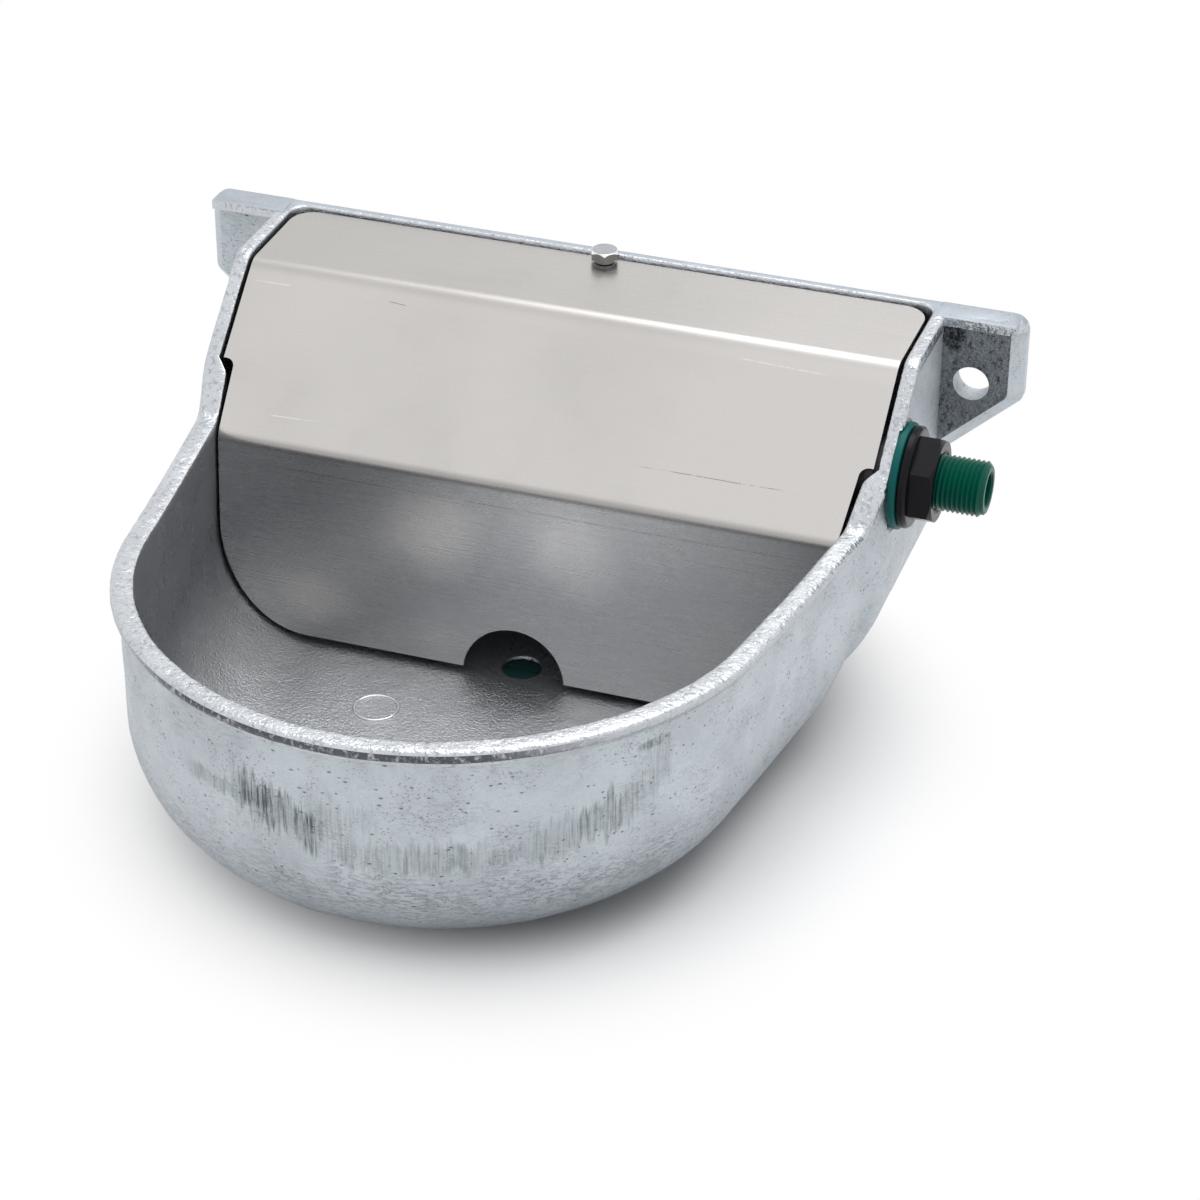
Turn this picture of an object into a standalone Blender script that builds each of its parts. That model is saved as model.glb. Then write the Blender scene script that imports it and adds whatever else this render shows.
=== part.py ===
"""Wall-hung drinking bowl for livestock, with a float valve under a removable cover.

The bowl is one iron casting with two bolt ears. A bent stainless cover shields the float valve,
whose threaded inlet leaves through the right wall. Lengths are in metres, with +Z up.
The wall is the plane y = 0, the bowl's middle is x = 0, and z = 0 is the bolt holes' height.
"""

import math

import bmesh
import bpy
from mathutils import Matrix, Vector
from mathutils.geometry import convex_hull_2d

# Clearances that the whole assembly shares
SEAT_GAP = 0.0003
RUNNING_GAP = 0.0001
OVERRUN = 0.003

# Heights above the bowl's base, and drops from the rear rim
REAR_RIM_HEIGHT = 0.1350
FOOT_RIM_HEIGHT = 0.0903
NOSE_RIM_HEIGHT = 0.0955
BOLT_DROP = 0.0273
INLET_DROP = 0.0382

# Casting in plan, on the inside of its wall
REAR_HALF_WIDTH = 0.1296
REAR_CORNER_RADIUS = 0.0065
SHOULDER_STEP = 0.0049
SHOULDER_Y = -0.0820
SHOULDER_LENGTH = 0.0050
NOSE_TAPER = 0.0137
NOSE_LENGTH = 0.1145
NOSE_Y = -0.1720

# Casting walls, floor and fillets
FRONT_WALL = 0.0055
REAR_WALL = 0.0047
BACK_WALL = 0.0035
FLOOR = 0.0060
BELLY_RADIUS = 0.0450
REAR_BELLY_RADIUS = 0.0600
BELLY_BLEND_Y = -0.0800
BELLY_BLEND_LENGTH = 0.0400
BACK_FLOOR_RADIUS = 0.0120
OUTER_CORNER_RADIUS = 0.0015
OUTER_SHOULDER_Y = -0.0770
OUTER_SHOULDER_LENGTH = 0.0200

# Rim: level at the rear, a slope beside the cover, then a gentle rise to the nose
RIM_BEND_Y = -0.0490
RIM_BLEND = 0.0060
RIM_RISE_Y = -0.1400
COVER_SLOPE = math.radians(41.6)

# Bead round the rim
BEAD_HEIGHT = 0.0050
FRONT_BEAD = 0.0029
REAR_BEAD = 0.0010
LIP_ROUND = 0.0013
BEAD_OUT_SHARES = (0.0, 0.62, 1.0, 0.95, 0.45)
BEAD_DROP_SHARES = (1.0, 0.78, 0.52, 0.24, 0.05)
LIP_DROP_SHARE = 0.04

# Facets of the casting, and the angle beyond which an edge is shown sharp
SHARP_ANGLE = math.radians(32.0)
BACK_STEPS = 4
CORNER_STEPS = 4
SHOULDER_STEPS = 4
SIDE_STEPS = 4
NOSE_STEPS = 15
FILLET_STEPS = 7

# Bolt ears
EAR_REACH = 0.0309
EAR_THICKNESS = 0.0095
EAR_SIDE_THICKNESS = 0.0040
EAR_CHAMFER = 0.0050
EAR_TOP_RADIUS = 0.0060
EAR_LOW_RADIUS = 0.0045
EAR_LOW_DROP = 0.0330
EAR_FOOT_DROP = 0.0635
EAR_RISE = 0.0002
EAR_LIP_HEIGHT = 0.0035
EAR_LIP_REACH = 0.0025
EAR_LIP_ROUND = 0.0008
BOLT_FROM_END = 0.0191
BOLT_HOLE_RADIUS = 0.0069
ARC_STEPS = 5

# Cover, a bent sheet: the profile is its upper surface, front to back in y
SHEET = 0.0012
COVER_DROP = 0.0015
COVER_BACK_Y = -0.0045
COVER_BEND_Y = -0.0500
COVER_SLOPE_LENGTH = 0.0715
COVER_FRONT_LEAN = math.radians(6.5)
COVER_FLOOR_GAP = 0.0025
COVER_BEND_RADIUS = 0.0035
COVER_BEND_STEPS = 4
COVER_SIDE_GAP = 0.0016
COVER_FRONT_GAP = 0.0009
COVER_CORNER_RADIUS = 0.0100
COVER_NOTCH_RADIUS = 0.0034
COVER_NOTCH_FLAT = 0.0014
COVER_LOW_CORNER_WIDTH = 0.0360
COVER_LOW_CORNER_HEIGHT = 0.0440
PORT_RADIUS = 0.0202
PORT_DROP = 0.0016

# Cover screw, whose collar clears the rear rim and bears on the cover beside its slot
SCREW_RADIUS = 0.0030
SCREW_LENGTH = 0.0150
SCREW_COLLAR_RADIUS = 0.0039
SCREW_HEAD_FLATS = 0.0100
SCREW_HEAD_HEIGHT = 0.0040
SCREW_HEAD_CHAMFER = 0.0006
SCREW_HEAD_TURN = math.radians(18.9)
BOSS_RADIUS = 0.0070
BOSS_HEIGHT = 0.0280
BOSS_FOOT_HALF_WIDTH = 0.0040

# Drain in the floor
DRAIN_Y = -0.1025
DRAIN_RADIUS = 0.00735
PLUG_UNDERSIDE = 0.0008
PLUG_HEIGHT = 0.0042
PLUG_CHAMFER = 0.0004
PLUG_GROOVE_DEPTH = 0.0014
PLUG_SEAL_HEIGHT = 0.0018
PLUG_SLOT_WIDTH = 0.0018
PLUG_SLOT_DEPTH = 0.0010

# Inlet through the right wall, along +X
INLET_Y = -0.0660
PAD_RADIUS = 0.0165
SPOT_FACE_DEPTH = 0.0003
THREAD_RADIUS = 0.010478
THREAD_END_CHAMFER = 0.0012
THREAD_REACH = 0.0178
INLET_BORE_RADIUS = 0.0063
OUTER_GASKET_RADIUS = 0.0199
OUTER_GASKET_THICKNESS = 0.0030
NUT_FLANGE_RADIUS = 0.0190
NUT_FLANGE_THICKNESS = 0.0036
NUT_FLATS = 0.0297
NUT_HEX_LENGTH = 0.0086
NUT_CHAMFER = 0.0010
NUT_TURN = math.radians(-3.0)
INNER_GASKET_RADIUS = 0.0150
INNER_GASKET_THICKNESS = 0.0017
FITTING_FLANGE_RADIUS = 0.0150
FITTING_FLANGE_THICKNESS = 0.0030
SPIGOT_RADIUS = 0.0090
SPIGOT_LENGTH = 0.0140
RING_GROOVE_DEPTH = 0.0015
RING_GROOVE_WIDTH = 0.0024
RING_GROOVE_FROM_TIP = 0.0040

# Nozzle pressed into the spigot
NOZZLE_BORE_RADIUS = 0.0020
NOZZLE_SEAT_RADIUS = 0.0034
NOZZLE_SEAT_LENGTH = 0.0016
NOZZLE_FLANGE_RADIUS = 0.0076
NOZZLE_FLANGE_THICKNESS = 0.0013
NOZZLE_PLUG_LENGTH = 0.0080

# Valve housing on the spigot
HOUSING_RADIUS = 0.0140
HOUSING_LENGTH = 0.0125
CHEEK_THICKNESS = 0.0030
CHEEK_EYE_RADIUS = 0.0060
CHEEK_ROOT_SETBACK = 0.0015
CHEEK_ROOT_LENGTH = 0.0080
CHEEK_ROOT_HALF_HEIGHT = 0.0070
STOP_WEB_THICKNESS = 0.0030
STOP_WEB_HEIGHT = 0.0060
HOUSING_SCREW_RADIUS = 0.0020
HOUSING_SCREW_HEAD_RADIUS = 0.0035
HOUSING_SCREW_HEAD_HEIGHT = 0.0025
HOUSING_SCREW_BITE = 0.0010
HOUSING_SCREW_FROM_FLANGE = 0.0035

# Float lever, given level as when the bowl is full; the height of its stop follows from the float
PIVOT_DROP = 0.0160
PIVOT_FROM_SEAT = 0.0040
PIN_RADIUS = 0.0020
PIN_OVERHANG = 0.0026
CLIP_RADIUS = 0.0040
CLIP_THICKNESS = 0.0010
HUB_RADIUS = 0.0050
HUB_SIDE_GAP = 0.0005
CUP_RADIUS = 0.0082
CUP_FLOOR = 0.0030
CUP_DEPTH = 0.0034
CUP_ARM_HALF_WIDTH = 0.0050
CUP_ARM_THICKNESS = 0.0048
DISC_THICKNESS = 0.0050
DISC_RADIUS = 0.0065
ARM_THICKNESS = 0.0045
ARM_ROOT_HALF_WIDTH = 0.0070
ARM_TIP_HALF_WIDTH = 0.0055
ARM_RIB_HALF_WIDTH = 0.0014
ARM_RIB_HEIGHT = 0.0030
ARM_RIB_END_GAP = 0.0160
ARM_TIP_OVERHANG = 0.0080
STOP_LUG_REACH = 0.0095
STOP_LUG_HALF_WIDTH = 0.0060
STOP_LUG_BACK = 0.0015
STOP_LUG_FRONT = 0.0030

# Float
FLOAT_LENGTH = 0.0960
FLOAT_WIDTH = 0.0480
FLOAT_HEIGHT = 0.0340
FLOAT_END_GAP = 0.0637
FLOAT_FLOOR_GAP = 0.0070
FLOAT_CORNER_RADIUS = 0.0140
FLOAT_EDGE_RADIUS = 0.0050
FLOAT_SEAM_REACH = 0.0012
FLOAT_SEAM_HEIGHT = 0.0022
FLOAT_EDGE_STEPS = 4
FLOAT_CORNER_STEPS = 5
FLOAT_SCREW_OFFSET = 0.0250
FLOAT_SCREW_RADIUS = 0.0025
FLOAT_SCREW_LENGTH = 0.0150
FLOAT_SCREW_HEAD_RADIUS = 0.0047
FLOAT_SCREW_HEAD_HEIGHT = 0.0026

# Domed screw head: shares of its radius and of its height, from the seat to the crown
DOME_SHARES = ((1.0, 0.0), (1.0, 0.55), (0.80, 0.87), (0.50, 1.0))
SCREW_POINT_SHARE = 0.7

# Facets of turned pieces
LARGE_SEGMENTS = 40
MEDIUM_SEGMENTS = 28
SMALL_SEGMENTS = 18
EYE_SEGMENTS = 16
SEAL_SEGMENTS = 8

# Places worked out from the sizes above
MOUTH_HALF_WIDTH = REAR_HALF_WIDTH - SHOULDER_STEP
NOSE_HALF_WIDTH = MOUTH_HALF_WIDTH - NOSE_TAPER
EAR_HALF_SPAN = REAR_HALF_WIDTH + REAR_WALL + EAR_REACH
BOLT_X = EAR_HALF_SPAN - BOLT_FROM_END
SHOULDER_FRONT_Y = SHOULDER_Y - SHOULDER_LENGTH
REAR_RIM_Z = BOLT_DROP
BASE_Z = REAR_RIM_Z - REAR_RIM_HEIGHT
INLET_Z = REAR_RIM_Z - INLET_DROP
FLOOR_Z = BASE_Z + FLOOR
COVER_TOP_Z = REAR_RIM_Z - COVER_DROP
SCREW_Y = -BACK_WALL - SEAT_GAP - SCREW_COLLAR_RADIUS
SCREW_HEAD_Z = REAR_RIM_Z + SEAT_GAP
SPOT_FACE_X = REAR_HALF_WIDTH + REAR_WALL - SPOT_FACE_DEPTH
OUTER_GASKET_X = SPOT_FACE_X + SEAT_GAP
NUT_X = OUTER_GASKET_X + OUTER_GASKET_THICKNESS + SEAT_GAP
THREAD_END_X = NUT_X + NUT_FLANGE_THICKNESS + NUT_HEX_LENGTH + THREAD_REACH
INNER_GASKET_X = REAR_HALF_WIDTH - SEAT_GAP
FITTING_FLANGE_X = INNER_GASKET_X - INNER_GASKET_THICKNESS - SEAT_GAP
SPIGOT_ROOT_X = FITTING_FLANGE_X - FITTING_FLANGE_THICKNESS
SPIGOT_TIP_X = SPIGOT_ROOT_X - SPIGOT_LENGTH
SEAT_X = SPIGOT_TIP_X - SEAT_GAP - NOZZLE_FLANGE_THICKNESS - NOZZLE_SEAT_LENGTH
PIVOT_X = SEAT_X - PIVOT_FROM_SEAT
PIVOT_Z = INLET_Z - PIVOT_DROP
FLOAT_FROM_PIVOT = PIVOT_X + REAR_HALF_WIDTH - FLOAT_END_GAP - FLOAT_LENGTH / 2
FLOAT_SCREW_FROM_PIVOT = FLOAT_FROM_PIVOT - FLOAT_SCREW_OFFSET
ARM_RIB_LENGTH = FLOAT_SCREW_FROM_PIVOT - ARM_RIB_END_GAP
HUB_HALF_LENGTH = CUP_RADIUS + HUB_SIDE_GAP
CHEEK_INNER_Y = HUB_HALF_LENGTH + HUB_SIDE_GAP
CHEEK_OUTER_Y = CHEEK_INNER_Y + CHEEK_THICKNESS
PIN_HOLE_RADIUS = PIN_RADIUS + RUNNING_GAP
TO_INLET = Matrix.Rotation(math.pi / 2, 4, 'Y')


def clear_scene():
    """Remove whatever the file holds before the bowl is built."""
    for item in list(bpy.data.objects):
        bpy.data.objects.remove(item, do_unlink=True)


def make_material(name, colour, roughness, metallic):
    """Return a Principled material with the given look."""
    material = bpy.data.materials.new(name)
    material.use_nodes = True
    shader = material.node_tree.nodes["Principled BSDF"]
    shader.inputs["Base Color"].default_value = (*colour, 1.0)
    shader.inputs["Roughness"].default_value = roughness
    shader.inputs["Metallic"].default_value = metallic
    material.diffuse_color = (*colour, 1.0)
    return material


def make_object(name, bm, material=None, place=None, parent=None):
    """Turn a bmesh into an object with its faces outward, set at a place under a parent."""
    bmesh.ops.recalc_face_normals(bm, faces=bm.faces)
    mesh = bpy.data.meshes.new(name)
    bm.to_mesh(mesh)
    bm.free()
    item = bpy.data.objects.new(name, mesh)
    bpy.context.collection.objects.link(item)
    if material:
        mesh.materials.append(material)
        mesh.shade_smooth()
        mesh.set_sharp_from_angle(angle=SHARP_ANGLE)
    item.parent = parent
    if place:
        item.matrix_basis = place
    return item


def combine(target, tool, operation):
    """Join, cut or intersect the target with a tool, which is used up."""
    modifier = target.modifiers.new(operation.lower(), 'BOOLEAN')
    modifier.operation = operation
    modifier.solver = 'EXACT'
    modifier.object = tool
    bpy.context.view_layer.update()
    result = target.evaluated_get(bpy.context.evaluated_depsgraph_get())
    mesh = bpy.data.meshes.new_from_object(result)
    target.modifiers.clear()
    old_mesh = target.data
    target.data = mesh
    bpy.data.meshes.remove(old_mesh)
    mesh.name = target.name
    mesh.shade_smooth()
    mesh.set_sharp_from_angle(angle=SHARP_ANGLE)
    bpy.data.objects.remove(tool, do_unlink=True)


def skin_rings(rings, closed=False):
    """Return a bmesh that joins rings of equal count, with flat ends unless the loft is closed."""
    bm = bmesh.new()
    loops = [[bm.verts.new(point) for point in ring] for ring in rings]
    pairs = list(zip(loops, loops[1:]))
    if closed:
        pairs.append((loops[-1], loops[0]))
    else:
        bm.faces.new(loops[0])
        bm.faces.new(loops[-1])
    for lower, upper in pairs:
        for index in range(len(lower)):
            after = (index + 1) % len(lower)
            bm.faces.new((lower[index], lower[after], upper[after], upper[index]))
    return bm


def circle(radius, height, segments, turn=0.0):
    """Return a ring of points about the local Z axis."""
    angles = (turn + math.tau * index / segments for index in range(segments))
    return [Vector((radius * math.cos(a), radius * math.sin(a), height)) for a in angles]


def turned(profile, segments):
    """Return a solid turned from (radius, height) points, listed from its lower face to its upper."""
    return skin_rings([circle(radius, height, segments) for radius, height in profile])


def turned_ring(profile, segments):
    """Return a turned ring, whose profile is a closed loop of (radius, height) points."""
    return skin_rings([circle(radius, height, segments) for radius, height in profile], closed=True)


def extruded(points, start, end, axes='xy'):
    """Return a plate with the given outline; axes names the plane that the outline lies in."""
    def lift(point, depth):
        if axes == 'xy':
            return Vector((point[0], point[1], depth))
        return Vector((point[0], depth, point[1]))
    return skin_rings([[lift(point, depth) for point in points] for depth in (start, end)])


def arc(centre, radius, start, end, steps):
    """Return points on an arc, both ends among them."""
    angles = (start + (end - start) * index / steps for index in range(steps + 1))
    return [(centre[0] + radius * math.cos(a), centre[1] + radius * math.sin(a)) for a in angles]


def loop(centre, radius, count):
    """Return points evenly spaced round a circle."""
    return arc(centre, radius, 0.0, math.tau * (count - 1) / count, count - 1)


def screw_head(radius, seat, height):
    """Return the profile of a domed screw head that stands on its seat."""
    return [(radius * across, seat + height * up) for across, up in DOME_SHARES]


def hull_plate(points, start, end):
    """Return a plate in the XZ plane whose outline is the convex hull of the points."""
    order = convex_hull_2d([Vector(point) for point in points])
    return extruded([points[index] for index in order], start, end, axes='xz')


def smooth_share(share):
    """Ease a share between 0 and 1 so that it starts and ends level."""
    share = min(max(share, 0.0), 1.0)
    return share * share * (3.0 - 2.0 * share)


def soft_lower(first, second, blend):
    """Return the lower of two heights, rounded where they meet."""
    share = min(max(0.5 + (second - first) / (2.0 * blend), 0.0), 1.0)
    return second + (first - second) * share - blend * share * (1.0 - share)


def tangent_angle():
    """Return where on the nose ellipse the straight side from the shoulder touches it."""
    across = MOUTH_HALF_WIDTH / NOSE_HALF_WIDTH
    along = (NOSE_Y - SHOULDER_FRONT_Y) / NOSE_LENGTH
    return math.atan2(along, across) + math.acos(1.0 / math.hypot(across, along))


def nose_point(angle):
    """Return the nose ellipse's point at an angle and the outward direction there."""
    point = Vector((NOSE_HALF_WIDTH * math.cos(angle), NOSE_Y - NOSE_LENGTH * math.sin(angle)))
    outward = Vector((math.cos(angle) / NOSE_HALF_WIDTH, -math.sin(angle) / NOSE_LENGTH))
    return point, outward.normalized()


class PlanLine:
    """One upright surface of the casting's wall, seen in plan.

    It holds the surface's half width at the rear, where its shoulder lies, how far out it stands
    from the mouth's inner edge, and where it runs along the back.
    """

    def __init__(self, rear_half_width, shoulder_y, shoulder_length, outset, back_y, corner_radius):
        self.rear_half_width = rear_half_width
        self.shoulder_y = shoulder_y
        self.shoulder_length = shoulder_length
        self.outset = outset
        self.back_y = back_y
        self.corner_radius = corner_radius
        self.tangent_point, self.side_outward = nose_point(tangent_angle())

    def side(self, y, inset):
        """Return the side's point at y, drawn in from the surface by the inset."""
        share = smooth_share((self.shoulder_y - y) / self.shoulder_length)
        slope = -self.side_outward.y / self.side_outward.x
        front_x = self.tangent_point.x + slope * (y - self.tangent_point.y)
        front_x += self.outset / self.side_outward.x
        outward = Vector((1.0, 0.0)).lerp(self.side_outward, share)
        x = self.rear_half_width + (front_x - self.rear_half_width) * share
        return Vector((x, y)) - inset * outward

    def half_ring(self, height, inset=None, back_inset=0.0):
        """Return the right half of a ring, from the middle of the back to the nose tip.

        height and inset are rules of the place along the bowl: they say how high the ring lies
        there and how far it is drawn in from the surface.
        """
        inset = inset or (lambda y: 0.0)
        back_y = self.back_y - back_inset
        radius = self.corner_radius + back_inset / 2
        centre = (self.rear_half_width - inset(back_y) - radius, back_y - radius)
        flat = [(Vector((centre[0] * step / BACK_STEPS, back_y)), back_y) for step in range(BACK_STEPS)]
        for point in arc(centre, radius, math.pi / 2, 0.0, CORNER_STEPS):
            flat.append((Vector(point), back_y))
        flat += [(self.side(y, inset(y)), y) for y in side_stations()]
        first = tangent_angle()
        for step in range(NOSE_STEPS + 1):
            point, outward = nose_point(first + (math.pi / 2 - first) * step / NOSE_STEPS)
            flat.append((point + (self.outset - inset(point.y)) * outward, point.y))
        return [Vector((point.x, point.y, height(y))) for point, y in flat]


def outer_line():
    """Return the casting's outer surface, whose shoulder is longer and softer."""
    return PlanLine(REAR_HALF_WIDTH + REAR_WALL, OUTER_SHOULDER_Y, OUTER_SHOULDER_LENGTH,
                    FRONT_WALL, 0.0, OUTER_CORNER_RADIUS)


def inner_line():
    """Return the casting's inner surface."""
    return PlanLine(REAR_HALF_WIDTH, SHOULDER_Y, SHOULDER_LENGTH, 0.0, -BACK_WALL, REAR_CORNER_RADIUS)


def side_stations():
    """Return the places along the side where the casting's surfaces turn, rear to front.

    The first lies in front of the rear corners, also where the floor fillet has widened them.
    """
    corner_end = BACK_WALL + BACK_FLOOR_RADIUS + REAR_CORNER_RADIUS + BACK_FLOOR_RADIUS / 2
    foot_y = rim_foot_y()
    stations = [-corner_end - OVERRUN, RIM_BEND_Y + RIM_BLEND, RIM_BEND_Y, RIM_BEND_Y - RIM_BLEND]
    stations += [(INLET_Y + RIM_BEND_Y) / 2, INLET_Y, OUTER_SHOULDER_Y]
    for step in range(SHOULDER_STEPS + 1):
        stations.append(SHOULDER_Y - SHOULDER_LENGTH * step / SHOULDER_STEPS)
    stations += [foot_y + RIM_BLEND, foot_y, foot_y - RIM_BLEND]
    last = nose_point(tangent_angle())[0].y
    span = last - (foot_y - RIM_BLEND)
    stations += [foot_y - RIM_BLEND + span * step / SIDE_STEPS for step in range(1, SIDE_STEPS)]
    return sorted(stations, reverse=True)


def rim_foot_y():
    """Return where the sloping rim meets the low rim."""
    return RIM_BEND_Y - (REAR_RIM_HEIGHT - FOOT_RIM_HEIGHT) / math.tan(COVER_SLOPE)


def rim_z(y):
    """Return the rim's top at a distance from the wall."""
    slope = REAR_RIM_HEIGHT - math.tan(COVER_SLOPE) * (RIM_BEND_Y - y)
    front_y = NOSE_Y - NOSE_LENGTH
    rise = smooth_share((RIM_RISE_Y - y) / (RIM_RISE_Y - front_y))
    low = FOOT_RIM_HEIGHT + (NOSE_RIM_HEIGHT - FOOT_RIM_HEIGHT) * rise
    upper = soft_lower(REAR_RIM_HEIGHT, slope, RIM_BLEND / 2)
    return BASE_Z - soft_lower(-upper, -low, RIM_BLEND / 2)


def belly_radius(y):
    """Return the radius of the outer fillet between wall and base, which is larger at the rear."""
    share = smooth_share((BELLY_BLEND_Y - y) / BELLY_BLEND_LENGTH)
    return REAR_BELLY_RADIUS + (BELLY_RADIUS - REAR_BELLY_RADIUS) * share


def whole_ring(half):
    """Mirror a half ring across the bowl's middle."""
    left = [Vector((-point.x, point.y, point.z)) for point in reversed(half[1:-1])]
    return half + left


def fillet_inset(radius, height):
    """Return how far a floor fillet stands in from its wall at a height over the floor."""
    if height >= radius:
        return 0.0
    return radius - math.sqrt(radius ** 2 - (radius - height) ** 2)


def bead_reach(y):
    """Return how far the bead stands out, which is less along the sheltered rear."""
    share = smooth_share((OUTER_SHOULDER_Y - y) / OUTER_SHOULDER_LENGTH)
    return REAR_BEAD + (FRONT_BEAD - REAR_BEAD) * share


def bead_ring(outer, out_share, drop_share):
    """Return one ring of the bead, which fades out on the flat back."""
    half = outer.half_ring(lambda y: rim_z(y) - BEAD_HEIGHT * drop_share)
    shifted = []
    for index, point in enumerate(half):
        before = half[max(index - 1, BACK_STEPS)]
        after = half[min(index + 1, len(half) - 1)]
        along = (after - before).to_2d()
        if index <= BACK_STEPS:
            shifted.append(point)
            continue
        outward = Vector((-along.y, min(along.x, 0.0), 0.0)) / along.length
        shifted.append(point + bead_reach(point.y) * out_share * outward)
    return whole_ring(shifted)


def casting_rings():
    """Return the casting's rings: up its outside, over the bead and down its inside."""
    outer = outer_line()
    inner = inner_line()
    angles = [math.pi / 2 * step / FILLET_STEPS for step in range(FILLET_STEPS + 1)]
    rings = []
    for angle in angles:
        up, across = 1.0 - math.cos(angle), 1.0 - math.sin(angle)
        rings.append(whole_ring(outer.half_ring(lambda y: BASE_Z + belly_radius(y) * up,
                                                lambda y: belly_radius(y) * across)))
    for out_share, drop_share in zip(BEAD_OUT_SHARES, BEAD_DROP_SHARES):
        rings.append(bead_ring(outer, out_share, drop_share))
    outer_half = outer.half_ring(rim_z)
    inner_half = inner.half_ring(rim_z)
    lip_share = LIP_ROUND / BACK_WALL / 2
    lip_drop = Vector((0.0, 0.0, LIP_ROUND * LIP_DROP_SHARE))
    rings.append(whole_ring([a.lerp(b, 0.5) for a, b in zip(outer_half, inner_half)]))
    rings.append(whole_ring([b.lerp(a, lip_share) - lip_drop for a, b in zip(outer_half, inner_half)]))
    rings.append(whole_ring(inner.half_ring(lambda y: rim_z(y) - LIP_ROUND)))
    for angle in reversed(angles):
        up, across = 1.0 - math.cos(angle), 1.0 - math.sin(angle)
        back_inset = fillet_inset(BACK_FLOOR_RADIUS, (REAR_BELLY_RADIUS - FRONT_WALL) * up)
        rings.append(whole_ring(inner.half_ring(lambda y: FLOOR_Z + (belly_radius(y) - FRONT_WALL) * up,
                                                lambda y: (belly_radius(y) - FRONT_WALL) * across,
                                                back_inset)))
    return rings


def ear_outline(inset):
    """Return the right ear's outline in XZ, drawn in from its side and its slanted foot."""
    side = EAR_HALF_SPAN - inset
    top = REAR_RIM_Z + EAR_RISE
    low = REAR_RIM_Z - EAR_LOW_DROP
    root = REAR_HALF_WIDTH + REAR_WALL / 2
    foot = REAR_RIM_Z - EAR_FOOT_DROP
    slant = math.atan2(low - foot, EAR_HALF_SPAN - root)
    shift = inset / math.cos(slant)
    low += inset * (1.0 - math.sin(slant)) / math.cos(slant)
    points = [(root, foot + shift)]
    corner = (side - EAR_LOW_RADIUS, low + EAR_LOW_RADIUS * (1.0 - math.sin(slant)) / math.cos(slant))
    points += arc(corner, EAR_LOW_RADIUS, slant - math.pi / 2, 0.0, ARC_STEPS)
    upper = (side - EAR_TOP_RADIUS, top - EAR_TOP_RADIUS)
    points += arc(upper, EAR_TOP_RADIUS, 0.0, math.pi / 2, ARC_STEPS)
    points.append((root, top))
    return points


def make_ear(side):
    """Return one bolt ear with its lip; side is 1.0 for the right and -1.0 for the left."""
    depths = ((0.0, 0.0), (EAR_SIDE_THICKNESS, 0.0), (EAR_THICKNESS, EAR_CHAMFER))
    rings = []
    for depth, inset in depths:
        rings.append([Vector((side * x, -depth, z)) for x, z in ear_outline(inset)])
    ear = make_object("ear", skin_rings(rings))
    root = REAR_HALF_WIDTH + REAR_WALL / 2
    end = EAR_HALF_SPAN - EAR_TOP_RADIUS / 2
    top = REAR_RIM_Z + EAR_RISE - SEAT_GAP
    low = REAR_RIM_Z - EAR_LIP_HEIGHT
    outline = [(side * root, low), (side * end, low), (side * end, top), (side * root, top)]
    lip = extruded(outline, -EAR_SIDE_THICKNESS, -EAR_THICKNESS - EAR_LIP_REACH, axes='xz')
    edges = [edge for edge in lip.edges if all(v.co.y < -EAR_THICKNESS for v in edge.verts)]
    bmesh.ops.bevel(lip, geom=edges, offset=EAR_LIP_ROUND, segments=2, affect='EDGES')
    combine(ear, make_object("ear lip", lip), 'UNION')
    hole = turned([(BOLT_HOLE_RADIUS, -OVERRUN), (BOLT_HOLE_RADIUS, EAR_THICKNESS + OVERRUN)],
                  MEDIUM_SEGMENTS)
    place = Matrix.Translation((side * BOLT_X, 0.0, 0.0)) @ Matrix.Rotation(math.pi / 2, 4, 'X')
    combine(ear, make_object("bolt hole", hole, place=place), 'DIFFERENCE')
    return ear


def make_screw_boss():
    """Return the boss on the back wall that takes the cover screw."""
    top = COVER_TOP_Z - SHEET - SEAT_GAP
    wall_y = -BACK_WALL / 2
    bm = bmesh.new()
    for x, y in arc((0.0, SCREW_Y), BOSS_RADIUS, math.pi, math.tau, 2 * ARC_STEPS):
        bm.verts.new((x, y, top))
        bm.verts.new((x, y, top - BOSS_RADIUS))
    for x in (-BOSS_RADIUS, BOSS_RADIUS):
        bm.verts.new((x, wall_y, top))
    for x in (-BOSS_FOOT_HALF_WIDTH, BOSS_FOOT_HALF_WIDTH):
        bm.verts.new((x, wall_y, top - BOSS_HEIGHT))
    bmesh.ops.convex_hull(bm, input=bm.verts)
    return make_object("screw boss", bm)


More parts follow.
